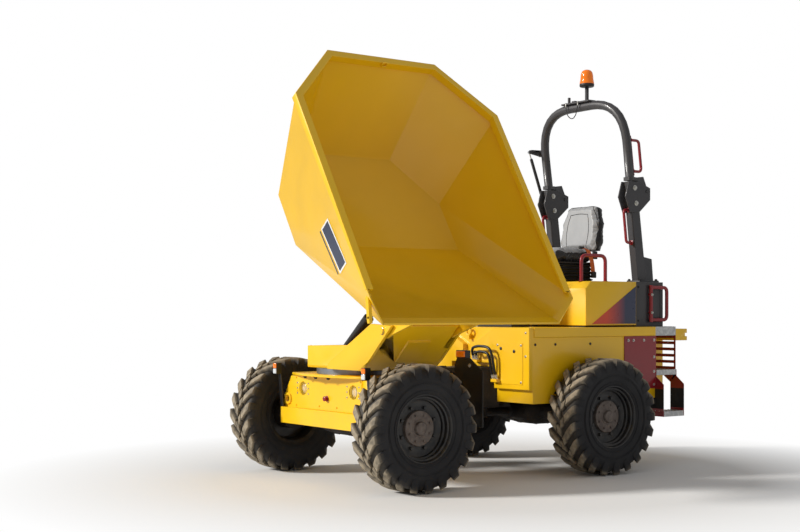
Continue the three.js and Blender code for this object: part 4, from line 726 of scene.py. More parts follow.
# ---- stage --------------------------------------------------------------------------------------
def build_stage():
    studio = bpy.context.scene.dumper_studio
    turn = studio.azimuth
    back = Vector((math.sin(turn), math.cos(turn), 0))
    look = -back
    camera = bpy.data.cameras.new("camera")
    camera.lens = studio.lens
    camera.shift_y = studio.rise
    camera.clip_end = 200
    holder = bpy.data.objects.new("camera", camera)
    holder.location = Vector((CAMERA_PLACE[0], CAMERA_PLACE[1],
                              0)) * MM + AXLE + Vector((0, 0, studio.height))
    holder.rotation_euler = look.to_track_quat("-Z", "Y").to_euler()
    bpy.context.scene.collection.objects.link(holder)
    bpy.context.scene.camera = holder
    bpy.context.scene.view_settings.view_transform = "Standard"

    sun = bpy.data.lights.new("key", "SUN")
    sun.energy = studio.sun
    sun.angle = math.radians(9)
    sun.color = (1.0, 0.97, 0.92)
    lamp = bpy.data.objects.new("key", sun)
    lamp.rotation_euler = Vector((0.8, -0.42, 0.45)).to_track_quat("Z", "Y").to_euler()
    bpy.context.scene.collection.objects.link(lamp)

    world = bpy.data.worlds.new("studio")
    world.use_nodes = True
    world.node_tree.nodes.clear()
    tree = world.node_tree
    rays = put(tree, "ShaderNodeLightPath").outputs
    seen = put(tree, "ShaderNodeMath", {0: rays["Is Camera Ray"], 1: rays["Is Transmission Ray"]},
               operation="MAXIMUM").outputs[0]
    strength = between(tree, seen, 0, 1, studio.fill, 1.0)
    shader = put(tree, "ShaderNodeBackground", {"Color": (1, 1, 1, 1), "Strength": strength})
    put(tree, "ShaderNodeOutputWorld", {"Surface": shader.outputs[0]})
    bpy.context.scene.world = world

    floor = bmesh.new()
    bmesh.ops.create_grid(floor, x_segments=8, y_segments=8, size=40)
    thing = shown("floor", floor, finish("studio_floor_matt", floor_finish))


CAMERA_PLACE = (5587, 8379)


def floor_finish(tree, shader):
    """Matt white floor that keeps the contact shadow and fades into the white background."""
    place = put(tree, "ShaderNodeTexCoord").outputs["Object"]
    apart = put(tree, "ShaderNodeVectorMath", {0: place}, operation="LENGTH").outputs["Value"]
    far = between(tree, apart, 2.1, 3.9)
    camera = put(tree, "ShaderNodeLightPath").outputs["Is Camera Ray"]
    dress(tree, shader, Base_Color=(0.86, 0.86, 0.86, 1), Roughness=0.9, Specular_IOR_Level=0.0)
    white = put(tree, "ShaderNodeEmission", {"Color": (1, 1, 1, 1), "Strength": 1.0})
    blend = put(tree, "ShaderNodeMixShader",
                {0: times(tree, far, camera), 1: shader.outputs[0], 2: white.outputs[0]})
    output = next(n for n in tree.nodes if n.type == "OUTPUT_MATERIAL")
    tree.links.new(blend.outputs[0], output.inputs["Surface"])


# ---- cords --------------------------------------------------------------------------------------
HOSE_X = -1227.5
HOSE_SPACING = 38
HOSE_RADIUS = 11
LEAD_RADIUS = 4
POST_RAKE = 0.13
BEACON_Z = 3080


def post_x(z):
    return -2631 + (z - HOOD_TOP_Z) * POST_RAKE


def hose_points(inset):
    shift = inset * HOSE_SPACING
    y0, y1 = 50 + shift, 330 - shift
    top = 1000 - 1.1 * shift
    return [
        (HOSE_X + 22, y0, 893), (HOSE_X + 46, y0 + 4, 953), (HOSE_X + 70, y0 + 45 - shift / 2, top - 14),
        (HOSE_X + 70, (y0 + y1) / 2, top), (HOSE_X + 62, y1 - 40 + shift / 2, top - 22),
        (HOSE_X + 42, y1 - 3, 807), (HOSE_X + 22, y1, 747),
    ]


def lead_points():
    x = post_x(BEACON_Z) + 45 + LEAD_RADIUS + 0.3
    z = BEACON_Z + 6
    return [
        (x, -130, z), (x, -129, z - 28), (x + 2, -122, z - 73), (x + 2, -85, z - 126), (x + 2, -40, z - 140),
        (x + 2, -4, z - 110), (x + 2, 12, z - 58), (x, 18, z - 28), (x, 20, z),
    ]


def curve_through(points, count):
    """Centripetal Catmull-Rom curve, with the same course as the CAD's cords."""
    points = [Vector(p) for p in points]
    last = len(points) - 1
    path = []
    for step in range(count + 1):
        place = last * step / count
        i = min(int(place), last - 1)
        t = place - i
        p1, p2 = points[i], points[i + 1]
        p0 = points[i - 1] if i else 2 * p1 - p2
        p3 = points[i + 2] if i + 2 <= last else 2 * p2 - p1
        d0, d1, d2 = [math.sqrt((b - a).length) for a, b in ((p0, p1), (p1, p2), (p2, p3))]
        out = ((p1 - p0) / d0 - (p2 - p0) / (d0 + d1) + (p2 - p1) / d1) * d1
        home = ((p2 - p1) / d1 - (p3 - p1) / (d1 + d2) + (p3 - p2) / d2) * d1
        path.append(
            p1 + out * t + (3 * (p2 - p1) - 2 * out - home) * t ** 2 + (2 * (p1 - p2) + out + home) * t ** 3)
    return path


def ferrule(mesh, path, radius, nut):
    """Crimped sleeve on a cord's first stretch, with a hexagon nut at its end."""
    turn = (path[1] - path[0]).to_track_quat("Y", "Z").to_matrix().to_4x4()
    place = Matrix.Translation(path[0]) @ turn
    r = radius
    lathe(mesh, [(0, -1), (r * 1.3, -1), (r * 1.36, 3), (r * 1.36, 9), (r * 1.24, 11), (r * 1.36, 13),
                 (r * 1.36, 20), (r * 1.24, 22), (r * 1.36, 24), (r * 1.3, 32), (r * 1.02, 34), (0, 34)],
                 place, 24)
    lathe(mesh, [(0, -4.2), (nut, -4.2), (nut, 0), (0, 0)], place, 6)


def cord_piece(name, points, radius, node, body, material, slot, count, nut, **facts):
    path = curve_through(points, count)
    mesh = bmesh.new()
    tube(mesh, path, radius, 18)
    cover = piece(name, mesh, material, body, slot, smooth=50, replaced=[node])
    metal = bmesh.new()
    ferrule(metal, path, radius, nut)
    ferrule(metal, path[::-1], radius, nut)
    ends = piece(name + "_ends", metal, zinc(), body, "bright_steel")


def build_cords():
    for inset, name in ((0, "hydraulic_hose_outer"), (1, "hydraulic_hose_inner")):
        cord_piece(name + "_cover", hose_points(inset), HOSE_RADIUS, name, "rear_chassis", hose_rubber(),
                   "hose_rubber", 72, 17, stiffness="stiff", lay="taut")
    cord_piece("beacon_lead_cover", lead_points(), LEAD_RADIUS, "beacon_lead", "folding_hoop",
               black_plastic(),
               "black_plastic", 64, 6, stiffness="medium", lay="hanging")


# ---- wheels -------------------------------------------------------------------------------------
def wheel_place(name):
    x, side = WHEELS[name]
    place = GROUND @ Matrix.Translation((x, side * WHEEL_Y, AXLE_Z))
    return place if side > 0 else place @ Matrix.Rotation(math.pi, 4, "Z")


CARCASS = [(236, 119), (262, 133), (300, 142), (345, 145), (385, 141), (411, 131), (425, 114), (429, 70),
           (430, 0)]
# along a lug: how far from the middle, its foot and top radius, and half its width
LONG_LUG = [
    (47, 428, 455, 32), (84, 428, 455, 32), (118, 424, 454, 31), (136, 408, 448, 30), (144, 385, 428, 28),
    (146, 356, 396, 19),
]
SHORT_LUG = [(4, 429, 455, 30), (36, 429, 455, 32)]


def lug(mesh, stations, side, slant, start):
    """A lug bar that leans round the tyre as it goes outwards and wraps down the shoulder."""
    rings = []
    for away, foot, top, half in stations:
        angle = start + slant * 0.9 * (min(away, 135) - stations[0][0]) / 430
        ring = []
        reach = [away, min(away + 5, 149.5)] if away > 125 else [away, away]
        for radius, spread, out in (
                (foot, half + 5, reach[0]), (top - 4, half + 1, reach[1]), (top, half - 3, reach[1]),
                (top, 3 - half, reach[1]), (top - 4, -half - 1, reach[1]), (foot, -half - 5, reach[0])):
            turn = angle + spread / radius
            ring.append(mesh.verts.new((radius * math.cos(turn), side * out, radius * math.sin(turn))))
        rings.append(ring)
    for first, second in zip(rings, rings[1:]):
        for k in range(6):
            j = (k + 1) % 6
            mesh.faces.new((first[k], first[j], second[j], second[k]))
    mesh.faces.new(rings[0])
    mesh.faces.new(rings[-1])


def add_crown(thing, place, low, high):
    """Marks how far out each point lies, for the dust on the lug tops."""
    back = place.inverted()
    data = thing.data
    crown = data.attributes.new("crown", "FLOAT", "POINT")
    for vertex, mark in zip(data.vertices, crown.data):
        local = back @ vertex.co
        share = (math.hypot(local.x, local.z) - low) / (high - low)
        mark.value = max(0.0, min(1.0, share))


def build_tyres():
    tyre = bpy.context.scene.dumper_tyre
    loop = CARCASS + [(r, -y) for r, y in CARCASS[-2::-1]] + [(231, -108), (231, 108)]
    for name, (_, side) in WHEELS.items():
        place = wheel_place(name)
        body = "wheel_" + name
        mesh = bmesh.new()
        lathe(mesh, loop, sides=96, closed=True)
        # raised rings on the sidewall
        for out in (-1, 1):
            for radius, wide in ((268, 3.0), (318, 1.6), (328, 1.6)):
                y = 136 if radius < 300 else 143.6
                ring = [(radius - wide, out * y), (radius - wide, out * (y + 2.6)),
                        (radius + wide, out * (y + 2.8)),
                        (radius + wide, out * y)]
                lathe(mesh, ring, sides=96, closed=True)
        carcass = piece("tyre_%s_carcass" % name, mesh, tyre_rubber(), body, "tyre_rubber", place, smooth=40,
                        replaced=["tyre_" + name])
        add_crown(carcass, place, 400, 600)
        pitch = 2 * math.pi / tyre.lugs
        unit = bmesh.new()
        for half, shift in ((1, 0.0), (-1, 0.5)):
            lug(unit, LONG_LUG, half, side, shift * pitch)
            lug(unit, SHORT_LUG, half, side, shift * pitch - side * 0.1)
        unit.transform(Matrix.Scale(MM, 4))
        spots = [((0, 0, 0), Euler((0, i * pitch, 0))) for i in range(tyre.lugs)]
        lugs = repeated("tyre_%s_lugs" % name, unit, spots, tyre_rubber(), body,
                        frame_of=place)
        add_crown(lugs, place, 425, 452)


RIM_LOOP = [
    (247, 119), (243, 125), (235, 124), (229, 116), (226, 104), (214, 100), (212, 84), (217, 78), (217, 66),
    (205, 60), (202, 40), (192, 33), (156, 31), (128, 35), (118, 22), (190, 20), (202, 10), (205, -60),
    (214, -108), (227, -117), (240, -123), (247, -118),
    (243, -111), (232, -106), (230, 106), (243, 112),
]


def build_rims():
    for name in WHEELS:
        place = wheel_place(name)
        body = "wheel_" + name
        mesh = bmesh.new()
        lathe(mesh, RIM_LOOP, sides=72, closed=True)
        lathe(mesh, [(9, 0), (9, 26), (6, 28), (0, 28)],
              Matrix.Translation((0, 0, 0)) @ along("y", 176, 30, 60), 10)
        piece("rim_%s_pressing" % name, mesh, black_enamel(), body, "black_paint", place,
              replaced=["rim_" + name])
        hub = bmesh.new()
        lathe(hub, [(0, 24), (127, 24), (127, 52), (123, 58), (116, 60), (64, 60), (61, 63), (50, 64),
                    (48, 78),
                    (43, 84), (34, 86), (0, 85)], sides=48)
        piece("hub_%s_face" % name, hub, hub_steel(), body, "dark_casting", place)
        ring = [(r * math.cos(a), y, r * math.sin(a), count)
                for count, r, y in ((8, 152, 31), (8, 96, 60))
                for a in (2 * math.pi * (i + 0.5) / count for i in range(count))]
        nuts = [((x, y, z), FACING["+y"]) for x, y, z, count in ring if y < 50]
        repeated("rim_%s_nuts" % name, hexagon_bolt(24, 3), nuts, black_enamel(), body,
                 frame_of=place)
        small = [((x, y, z), FACING["+y"]) for x, y, z, count in ring if y > 50]
        repeated("hub_%s_bolts" % name, hexagon_bolt(13), small, hub_steel(), body,
                 frame_of=place)


# ---- seat ---------------------------------------------------------------------------------------
SEAT_HALF = 250
SEAT_FRONT_X = -1906
SEAT_BACK_X = -2376
CUSHION_Z = 1692.3
CUSHION_TOP_Z = 1802.3
BACK_RAKE = math.radians(8)
BACK_PLACE = (
    GROUND @ Matrix.Translation((SEAT_BACK_X - 0.3, 0, CUSHION_TOP_Z - 20))
    @ Matrix.Rotation(-BACK_RAKE, 4, "Y"))
BACK_HEIGHT = 430


FOAM_VOXEL = 0.0055
CLOTH_FRAMES = 20


def stuffed(thing, cap):
    """Swells a closed pad as foam under a cover does, and caps how far each point moves."""
    seat = bpy.context.scene.dumper_seat
    remesh = thing.modifiers.new("even", "REMESH")
    remesh.mode = "VOXEL"
    remesh.voxel_size = FOAM_VOXEL
    apply_all(thing)
    start = [v.co.copy() for v in thing.data.vertices]
    cloth = thing.modifiers.new("foam", "CLOTH")
    cloth.settings.use_pressure = True
    cloth.settings.uniform_pressure_force = seat.pressure
    cloth.settings.effector_weights.gravity = 0
    cloth.settings.tension_stiffness = 18
    cloth.settings.quality = 4
    cloth.point_cache.frame_end = CLOTH_FRAMES
    for step in range(1, CLOTH_FRAMES + 1):
        bpy.context.scene.frame_set(step)
    moved = bpy.data.meshes.new_from_object(thing.evaluated_get(bpy.context.evaluated_depsgraph_get()))
    ends = [v.co.copy() for v in moved.vertices]
    thing.modifiers.remove(cloth)
    bpy.context.scene.frame_set(1)
    for vertex, before, after in zip(thing.data.vertices, start, ends):
        shift = after - before
        if shift.length > cap:
            shift *= cap / shift.length
        vertex.co = before + shift
    bpy.data.meshes.remove(moved)
    finer = thing.modifiers.new("finer", "SUBSURF")
    finer.levels = 1
    apply_all(thing)


def apply_all(thing):
    data = bpy.data.meshes.new_from_object(thing.evaluated_get(bpy.context.evaluated_depsgraph_get()))
    old = thing.data
    thing.modifiers.clear()
    thing.data = data
    bpy.data.meshes.remove(old)


def pad(name, mesh, place, cap, face_field):
    bmesh.ops.recalc_face_normals(mesh, faces=mesh.faces[:])
    mesh.transform(place)
    thing = shown(name, mesh, seat_vinyl())
    stuffed(thing, cap)
    thing.data.shade_smooth()
    back = place.inverted()
    # the mark picks out the grey top and front inside the seams, which is partly a painted highlight
    mark = thing.data.attributes.new("facing", "FLOAT", "POINT")
    for vertex, value in zip(thing.data.vertices, mark.data):
        value.value = max(0.0, min(1.0, 0.5 + face_field(back @ vertex.co) / 40))
    if not thing.data.materials:
        thing.data.materials.append(seat_vinyl())
    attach(thing, "rear_chassis")
    return thing


def welts(name, target, paths, place, aim, radius=3.2):
    """Piping laid on a pad: points in millimetres are dropped along aim onto the pad's face."""
    tree = BVHTree.FromPolygons(
        [v.co for v in target.data.vertices], [list(p.vertices) for p in target.data.polygons])
    mesh = bmesh.new()
    turned = place.to_3x3().normalized()
    for points in paths:
        path = []
        for p in curve_through(points, 10 * (len(points) - 1)):
            hit, normal, _, _ = tree.ray_cast(place @ p, turned @ Vector(aim))
            if hit is not None:
                path.append(hit - normal * 0.0008)
        if len(path) > 4:
            even = [path[0]] + [(a + 2 * b + c) / 4 for a, b, c in zip(path, path[1:], path[2:])] + [path[-1]]
            tube(mesh, even, radius * MM, 8)
    bmesh.ops.recalc_face_normals(mesh, faces=mesh.faces[:])
    thing = shown(name, mesh, piping(), 60)
    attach(thing, "rear_chassis")


def rounded_outline(half_x, half_y, corner, steps=5):
    """Corners of a rounded rectangle about the middle."""
    outline = []
    for cx, cy, start in ((1, 1, 0), (-1, 1, 90), (-1, -1, 180), (1, -1, 270)):
        for i in range(steps + 1):
            a = math.radians(start + 90 * i / steps)
            outline.append((cx * (half_x - corner) + corner * math.cos(a),
                            cy * (half_y - corner) + corner * math.sin(a)))
    return outline


def stacked(mesh, layers, centre):
    """Rings of (half x, half y, corner, z) joined into one closed skin."""
    rings = [[mesh.verts.new((centre[0] + x, centre[1] + y, z)) for x, y in rounded_outline(hx, hy, corner)]
             for hx, hy, corner, z in layers]
    for first, second in zip(rings, rings[1:]):
        for i in range(len(first)):
            j = (i + 1) % len(first)
            mesh.faces.new((first[i], first[j], second[j], second[i]))
    mesh.faces.new(rings[0])
    mesh.faces.new(rings[-1])


def build_seat():
    seat = bpy.context.scene.dumper_seat
    swell = seat.swell
    middle = ((SEAT_FRONT_X + SEAT_BACK_X) / 2, 0)
    inset = 16
    hx, hy = (SEAT_FRONT_X - SEAT_BACK_X) / 2 - inset, SEAT_HALF - inset
    mesh = bmesh.new()
    stacked(mesh, [
        (hx - 14, hy - 14, 40, CUSHION_Z + 9), (hx, hy, 46, CUSHION_Z + 26), (hx, hy, 46, CUSHION_TOP_Z - 34),
        (hx - 10, hy - 10, 40, CUSHION_TOP_Z - 17), (hx - 34, hy - 34, 30, CUSHION_TOP_Z - 13),
    ], middle)
    # the field's grey top and front are partly a painted highlight on the dark seat
    cushion = pad("seat_cushion_cover", mesh, GROUND, swell,
                  lambda p: min(214 - abs(p.y), p.z - CUSHION_Z - 44, p.x - SEAT_BACK_X - 30))
    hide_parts("seat_cushion")
    front, rear, top = SEAT_FRONT_X - 26, SEAT_BACK_X + 40, CUSHION_TOP_Z + 60
    welts("seat_cushion_seams", cushion, [
        [(rear, s * 214, top), (-2250, s * 216, top), (-2050, s * 216, top), (front - 10, s * 212, top)]
        for s in (-1, 1)
    ] + [
        [(rear, s * 118, top), (-2250, s * 122, top), (-2060, s * 128, top), (front - 4, s * 112, top)]
        for s in (-1, 1)
    ] + [[(-2010, -128, top), (-2000, 0, top), (-2010, 128, top)]], GROUND, (0, 0, -1))

    half, high = SEAT_HALF - 16, BACK_HEIGHT
    outline = [
        (-half + 34, 16), (half - 34, 16), (half, 92), (half - 10, high * 0.62), (half - 62, high - 32),
        (half - 100, high - 15), (-half + 100, high - 15), (-half + 62, high - 32), (-half + 10, high * 0.62),
        (-half, 92),
    ]
    mesh = bmesh.new()
    prism(mesh, outline, (-96, -14), "x")
    # the field's grey front is partly a painted highlight on the dark seat
    back = pad("seat_backrest_cover", mesh, BACK_PLACE, swell * 0.9, lambda p: min(
        214 - abs(p.y) - max(0, p.z - high * 0.62) * 0.33, p.x + 34, high - 24 - p.z))
    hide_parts("seat_backrest")
    welts("seat_backrest_seams", back, [
        [(80, s * 212, 40), (80, s * 216, 130), (80, s * 208, 250), (80, s * 168, 350), (80, s * 140, 400)]
        for s in (-1, 1)
    ] + [
        [(80, s * 112, 30), (80, s * 132, 130), (80, s * 128, 240), (80, s * 104, 330)] for s in (-1, 1)
    ] + [[(80, -140, 400), (80, -70, 404), (80, 0, 405), (80, 70, 404), (80, 140, 400)],
         [(80, -104, 330), (80, 0, 338), (80, 104, 330)]], BACK_PLACE, (-1, 0, 0))
    hinge = bmesh.new()
    for s in (-1, 1):
        block(hinge, (SEAT_BACK_X - 58, SEAT_BACK_X - 10), (s * 196 - 12, s * 196 + 12),
              (CUSHION_Z + 30, CUSHION_Z + 96))
    piece("seat_recliner", hinge, black_plastic(), "rear_chassis", "black_plastic", chamfer=5)

    bellows = bmesh.new()
    layers = [(214, 216, 34, 1522.4), (214, 216, 34, 1530)]
    folds = 5
    rise = (CUSHION_Z - 14 - 1530) / folds
    for i in range(folds):
        z = 1530 + i * rise
        layers += [(190, 222, 30, z + 3), (204, 238, 34, z + rise * 0.38), (208, 243, 36, z + rise * 0.5),
                   (204, 238, 34, z + rise * 0.62), (190, 222, 30, z + rise - 3)]
    layers += [(208, 242, 36, CUSHION_Z - 12), (208, 242, 36, CUSHION_Z - 1)]
    stacked(bellows, layers, (-2158, 0))
    piece("seat_bellows", bellows, bellows_rubber(), "rear_chassis", "hose_rubber", smooth=60,
          replaced=["seat_suspension"])

    belt = bmesh.new()
    strap = [(-2330, 258, 1600), (-2318, 262, 1660), (-2300, 262, 1730), (-2270, 252, 1792),
             (-2230, 222, 1818)]
    path = curve_through(strap, 24)
    rings = [[belt.verts.new(p + Vector((w, 0, 0)) + Vector((0, t, 0))) for w, t in
              ((-23, -1), (23, -1), (23, 1), (-23, 1))] for p in path]
    for first, second in zip(rings, rings[1:]):
        for k in range(4):
            belt.faces.new((first[k], first[(k + 1) % 4], second[(k + 1) % 4], second[k]))
    belt.faces.new(rings[0])
    belt.faces.new(rings[-1])
    piece("seat_belt", belt, webbing(), "rear_chassis", "seat_vinyl", smooth=50)
    buckle = bmesh.new()
    block(buckle, (-2354, -2306), (248, 276), (1560, 1612))
    block(buckle, (-2254, -2206), (204, 234), (1804, 1826))
    piece("seat_belt_reel", buckle, black_plastic(), "rear_chassis", "black_plastic", chamfer=5)


# ---- handles and controls -----------------------------------------------------------------------
def handle(name, corners, radius, bend, body, foot_axis, node):
    """A bent tube welded on two small round feet."""
    mesh = bmesh.new()
    tube(mesh, rounded_path(corners, bend), radius, 18)
    for end in (corners[0], corners[-1]):
        lathe(mesh, [(0, 0), (radius * 1.7, 0), (radius * 1.7, 3), (radius * 1.15, 6), (0, 6)],
              along(foot_axis, *end), 18)
    return piece(name, mesh, red_enamel(), body, "red_paint", smooth=50, replaced=[node])


POST_HEIGHT = 850
SPLIT_Z = HOOD_TOP_Z + POST_HEIGHT


def post_front_x(z):
    low, high = post_x(HOOD_TOP_Z) + 50, post_x(SPLIT_Z - 8) + 42
    return low + (high - low) * (z - HOOD_TOP_Z + 1) / (POST_HEIGHT - 7)


def build_handles():
    z0, z1 = HOOD_TOP_Z + 0.3, HOOD_TOP_Z + 213.3
    for side, hand in ((1, "left"), (-1, "right")):
        y = side * (HOOD_HALF - 125)
        handle("grab_rail_%s_tube" % hand, [(-2232, y, z0), (-2232, y, z1), (-1960, y, z1), (-1960, y, z0)],
               15, 55, "rear_chassis", "z", "grab_rail_" + hand)
        y = side * (HOOD_HALF + 22)
        low, high = 1207, 1477
        grip = bmesh.new()
        tube(grip, rounded_path([(-2616, y, high), (-2806, y, high), (-2806, y, low), (-2616, y, low)],
                                40), 15, 18)
        tube(grip, [(-2616, y, low - 18), (-2616, y, high + 18)], 16, 18)
        for z in (low + 60, high - 60):
            lathe(grip, [(0, 0), (9, 0), (9, 22), (0, 22)], along("y", -2616, min(side * 625.3, y), z), 16)
        piece("rear_handle_%s_tube" % hand, grip, red_enamel(), "rear_chassis", "red_paint", smooth=50,
              replaced=["rear_handle_" + hand])
        screws = [((-2616, y + side * 14, z), FACING["+y" if side > 0 else "-y"])
                  for z in (low + 60, high - 60)]
        repeated("rear_handle_%s_screws" % hand, hexagon_bolt(14), screws, zinc(), "rear_chassis")
        z2, z3 = HOOD_TOP_Z + 332, HOOD_TOP_Z + 604
        near, far = [post_front_x(z) + 1.8 for z in (z2, z3)]
        bars = [(near, side * POST_Y, z2), (near + 62, side * POST_Y, z2),
                (far + 62, side * POST_Y, z3), (far, side * POST_Y, z3)]
        handle("post_handle_%s_tube" % hand, bars, 12, 28, "rear_chassis", "x", "post_handle_" + hand)
    foot, head = SPLIT_Z + 62, SPLIT_Z + 362

    def back(z):
        return post_x(z) - 38.9
    loop = [(back(foot + 20) - 8, 502, foot + 20), (back(foot + 20) - 105, 502, foot + 20),
            (back(head - 20) - 105, 502, head - 20), (back(head - 20) - 8, 502, head - 20)]
    handle("hoop_handle_tube", loop, 12, 35, "folding_hoop", "x", "hoop_handle")
    plate = bmesh.new()
    low, high = foot - 15, head + 15
    prism(plate, [(back(low) - 8, low), (back(low), low), (back(high), high), (back(high) - 8, high)],
          (488, 516))
    piece("hoop_handle_plate", plate, red_enamel(), "folding_hoop", "red_paint", chamfer=2)


WHEEL_HUB = (-1692.5, 1860)


def build_controls():
    lean = math.radians(32)
    place = GROUND @ Matrix.Translation((WHEEL_HUB[0] - 28.3 * math.sin(lean), 0,
                                         WHEEL_HUB[1] + 28.3 * math.cos(lean)))
    place = place @ Matrix.Rotation(-lean, 4, "Y") @ Matrix.Rotation(math.pi / 2, 4, "X")
    mesh = bmesh.new()
    ring = [(175 + 13.5 * math.cos(a), 13.5 * math.sin(a)) for a in (2 * math.pi * i / 12 for i in range(12))]
    lathe(mesh, ring, sides=64, closed=True)
    for turn in (90, 210, 330):
        a = math.radians(turn)
        tube(mesh, [(30 * math.cos(a), -10, -30 * math.sin(a)), (90 * math.cos(a), -8, -90 * math.sin(a)),
                    (168 * math.cos(a), 0, -168 * math.sin(a))], 9, 12)
    lathe(mesh, [(0, -28), (36, -28), (40, -20), (40, -8), (30, -3), (0, -1)], sides=32)
    piece("steering_wheel_grip", mesh, black_plastic(), "rear_chassis", "black_plastic", place, smooth=50,
          replaced=["steering_wheel"])
    refined("dash_console", black_plastic(), 4)
    gauges = bmesh.new()
    for y, r in ((-40, 26), (30, 34), (92, 20)):
        tilt = Matrix.Translation((-1562, y, 1695)) @ Matrix.Rotation(math.radians(-33), 4, "Y")
        tilt = tilt @ along("z", 0, 0, 0)
        lathe(gauges, [(0, 0), (r, 0), (r, 7), (r - 4, 9), (r - 6, 5), (0, 5)], tilt, 28)
    piece("dash_gauges", gauges, turned_steel(), "rear_chassis", "bright_steel")


# ---- painted metal ------------------------------------------------------------------------------
def build_painted_metal():
    yellow, grey, black = yellow_enamel(), graphite_enamel(), black_enamel()
    for node, chamfer in (
            ("front_frame", 3), ("front_bumper", 3), ("front_panel", 1.5), ("turntable_plate", 3),
            ("swivel_frame", 3), ("rear_bumper", 3), ("skip_tub", 2)):
        refined(node, yellow, chamfer)
    refined("rear_body", yellow, 3)
    refined("seat_box", yellow, 3, cuts=[("z", 1163)],
            also=[(bellows_rubber(), lambda p: p.z < 1163)])
    refined("rops_base", grey, 3)
    refined("rops_hoop", grey, 2)
    for side in ("left", "right"):
        refined("mudguard_" + side, black, 2)
        refined("light_cluster_" + side, black, 2)
    for node in ("tip_barrel", "steer_barrel", "strut_barrel"):
        refined(node, black, 2)
    for node in ("tip_rod", "steer_rod", "strut_rod"):
        refined(node, chrome(), 1)
    for node in ("front_axle", "rear_axle", "rear_frame", "engine_block"):
        refined(node, cast_iron(), 3)
    refined("slew_ring", turned_steel(), 2)


def build_steps():
    for side, hand in ((1, "left"), (-1, "right")):
        refined(
            "steps_" + hand, red_enamel(), 1.5, cuts=[("z", 634), ("z", 471)], also=[
                (bellows_rubber(), lambda p: 471 < p.z < 634 and abs(p.y) > 600),
                (tread_aluminium(), lambda p: -2862 < p.x < -2628 and (p.z < 451 or 745 < p.z < 791)
                 and abs(p.y) > 500),
            ])
        spots = []
        for x, y, z in [(-2845 + 40 * i, 520 + 22 * j, 790) for i in range(6) for j in range(8)]:
            spots.append(((x + (j_odd(y) * 20), side * y, z), FACING["+z"]))
        for x, y, z in [(-2845 + 40 * i, 648 + 22 * j, 450) for i in range(6) for j in range(6)]:
            spots.append(((x + (j_odd(y) * 20), side * y, z), FACING["+z"]))
        repeated("step_grips_" + hand, grip_stud(), spots, tread_aluminium(), "rear_chassis")
        skirt = [((x, side * 696.3, z), FACING["+y" if side > 0 else "-y"]) for x, z in (
            (-2600, 1040), (-2480, 1040), (-2360, 1040), (-2600, 900), (-2600, 780), (-2600, 672),
            (-2300, 1040), (-2440, 672))]
        repeated("skirt_bolts_" + hand, hexagon_bolt(13), skirt, zinc(), "rear_chassis")
    refined("rear_deck", tread_aluminium(), 1.5)
    diamonds = []
    for i in range(9):
        for j in range(46):
            turn = math.radians(45 if (i + j) % 2 else -45)
            diamonds.append(((-2858 + 27 * i, -675 + 30 * j, 1150), Euler((0, 0, turn))))
    repeated("rear_deck_chequers", chequer(), diamonds, tread_aluminium(), "rear_chassis")


def j_odd(value):
    return int(value / 22) % 2


def grip_stud():
    mesh = bmesh.new()
    lathe(mesh, [(7, -0.4), (7, 1.4), (5, 2.6), (3.4, 2.6), (2.6, 1), (0, 1)], along("z", 0, 0, 0), 10)
    mesh.transform(Matrix.Scale(MM, 4))
    return mesh


def chequer():
    """One raised bar of tread plate, pointed at both ends."""
    mesh = bmesh.new()
    outline = [(-14, 0), (-8, -3), (8, -3), (14, 0), (8, 3), (-8, 3)]
    low = [mesh.verts.new((x, y, -0.3)) for x, y in outline]
    high = [mesh.verts.new((x * 0.8, y * 0.55, 1.6)) for x, y in outline]
    mesh.faces.new(low)
    mesh.faces.new(high)
    for i in range(6):
        j = (i + 1) % 6
        mesh.faces.new((low[i], low[j], high[j], high[i]))
    mesh.transform(Matrix.Scale(MM, 4))
    return mesh


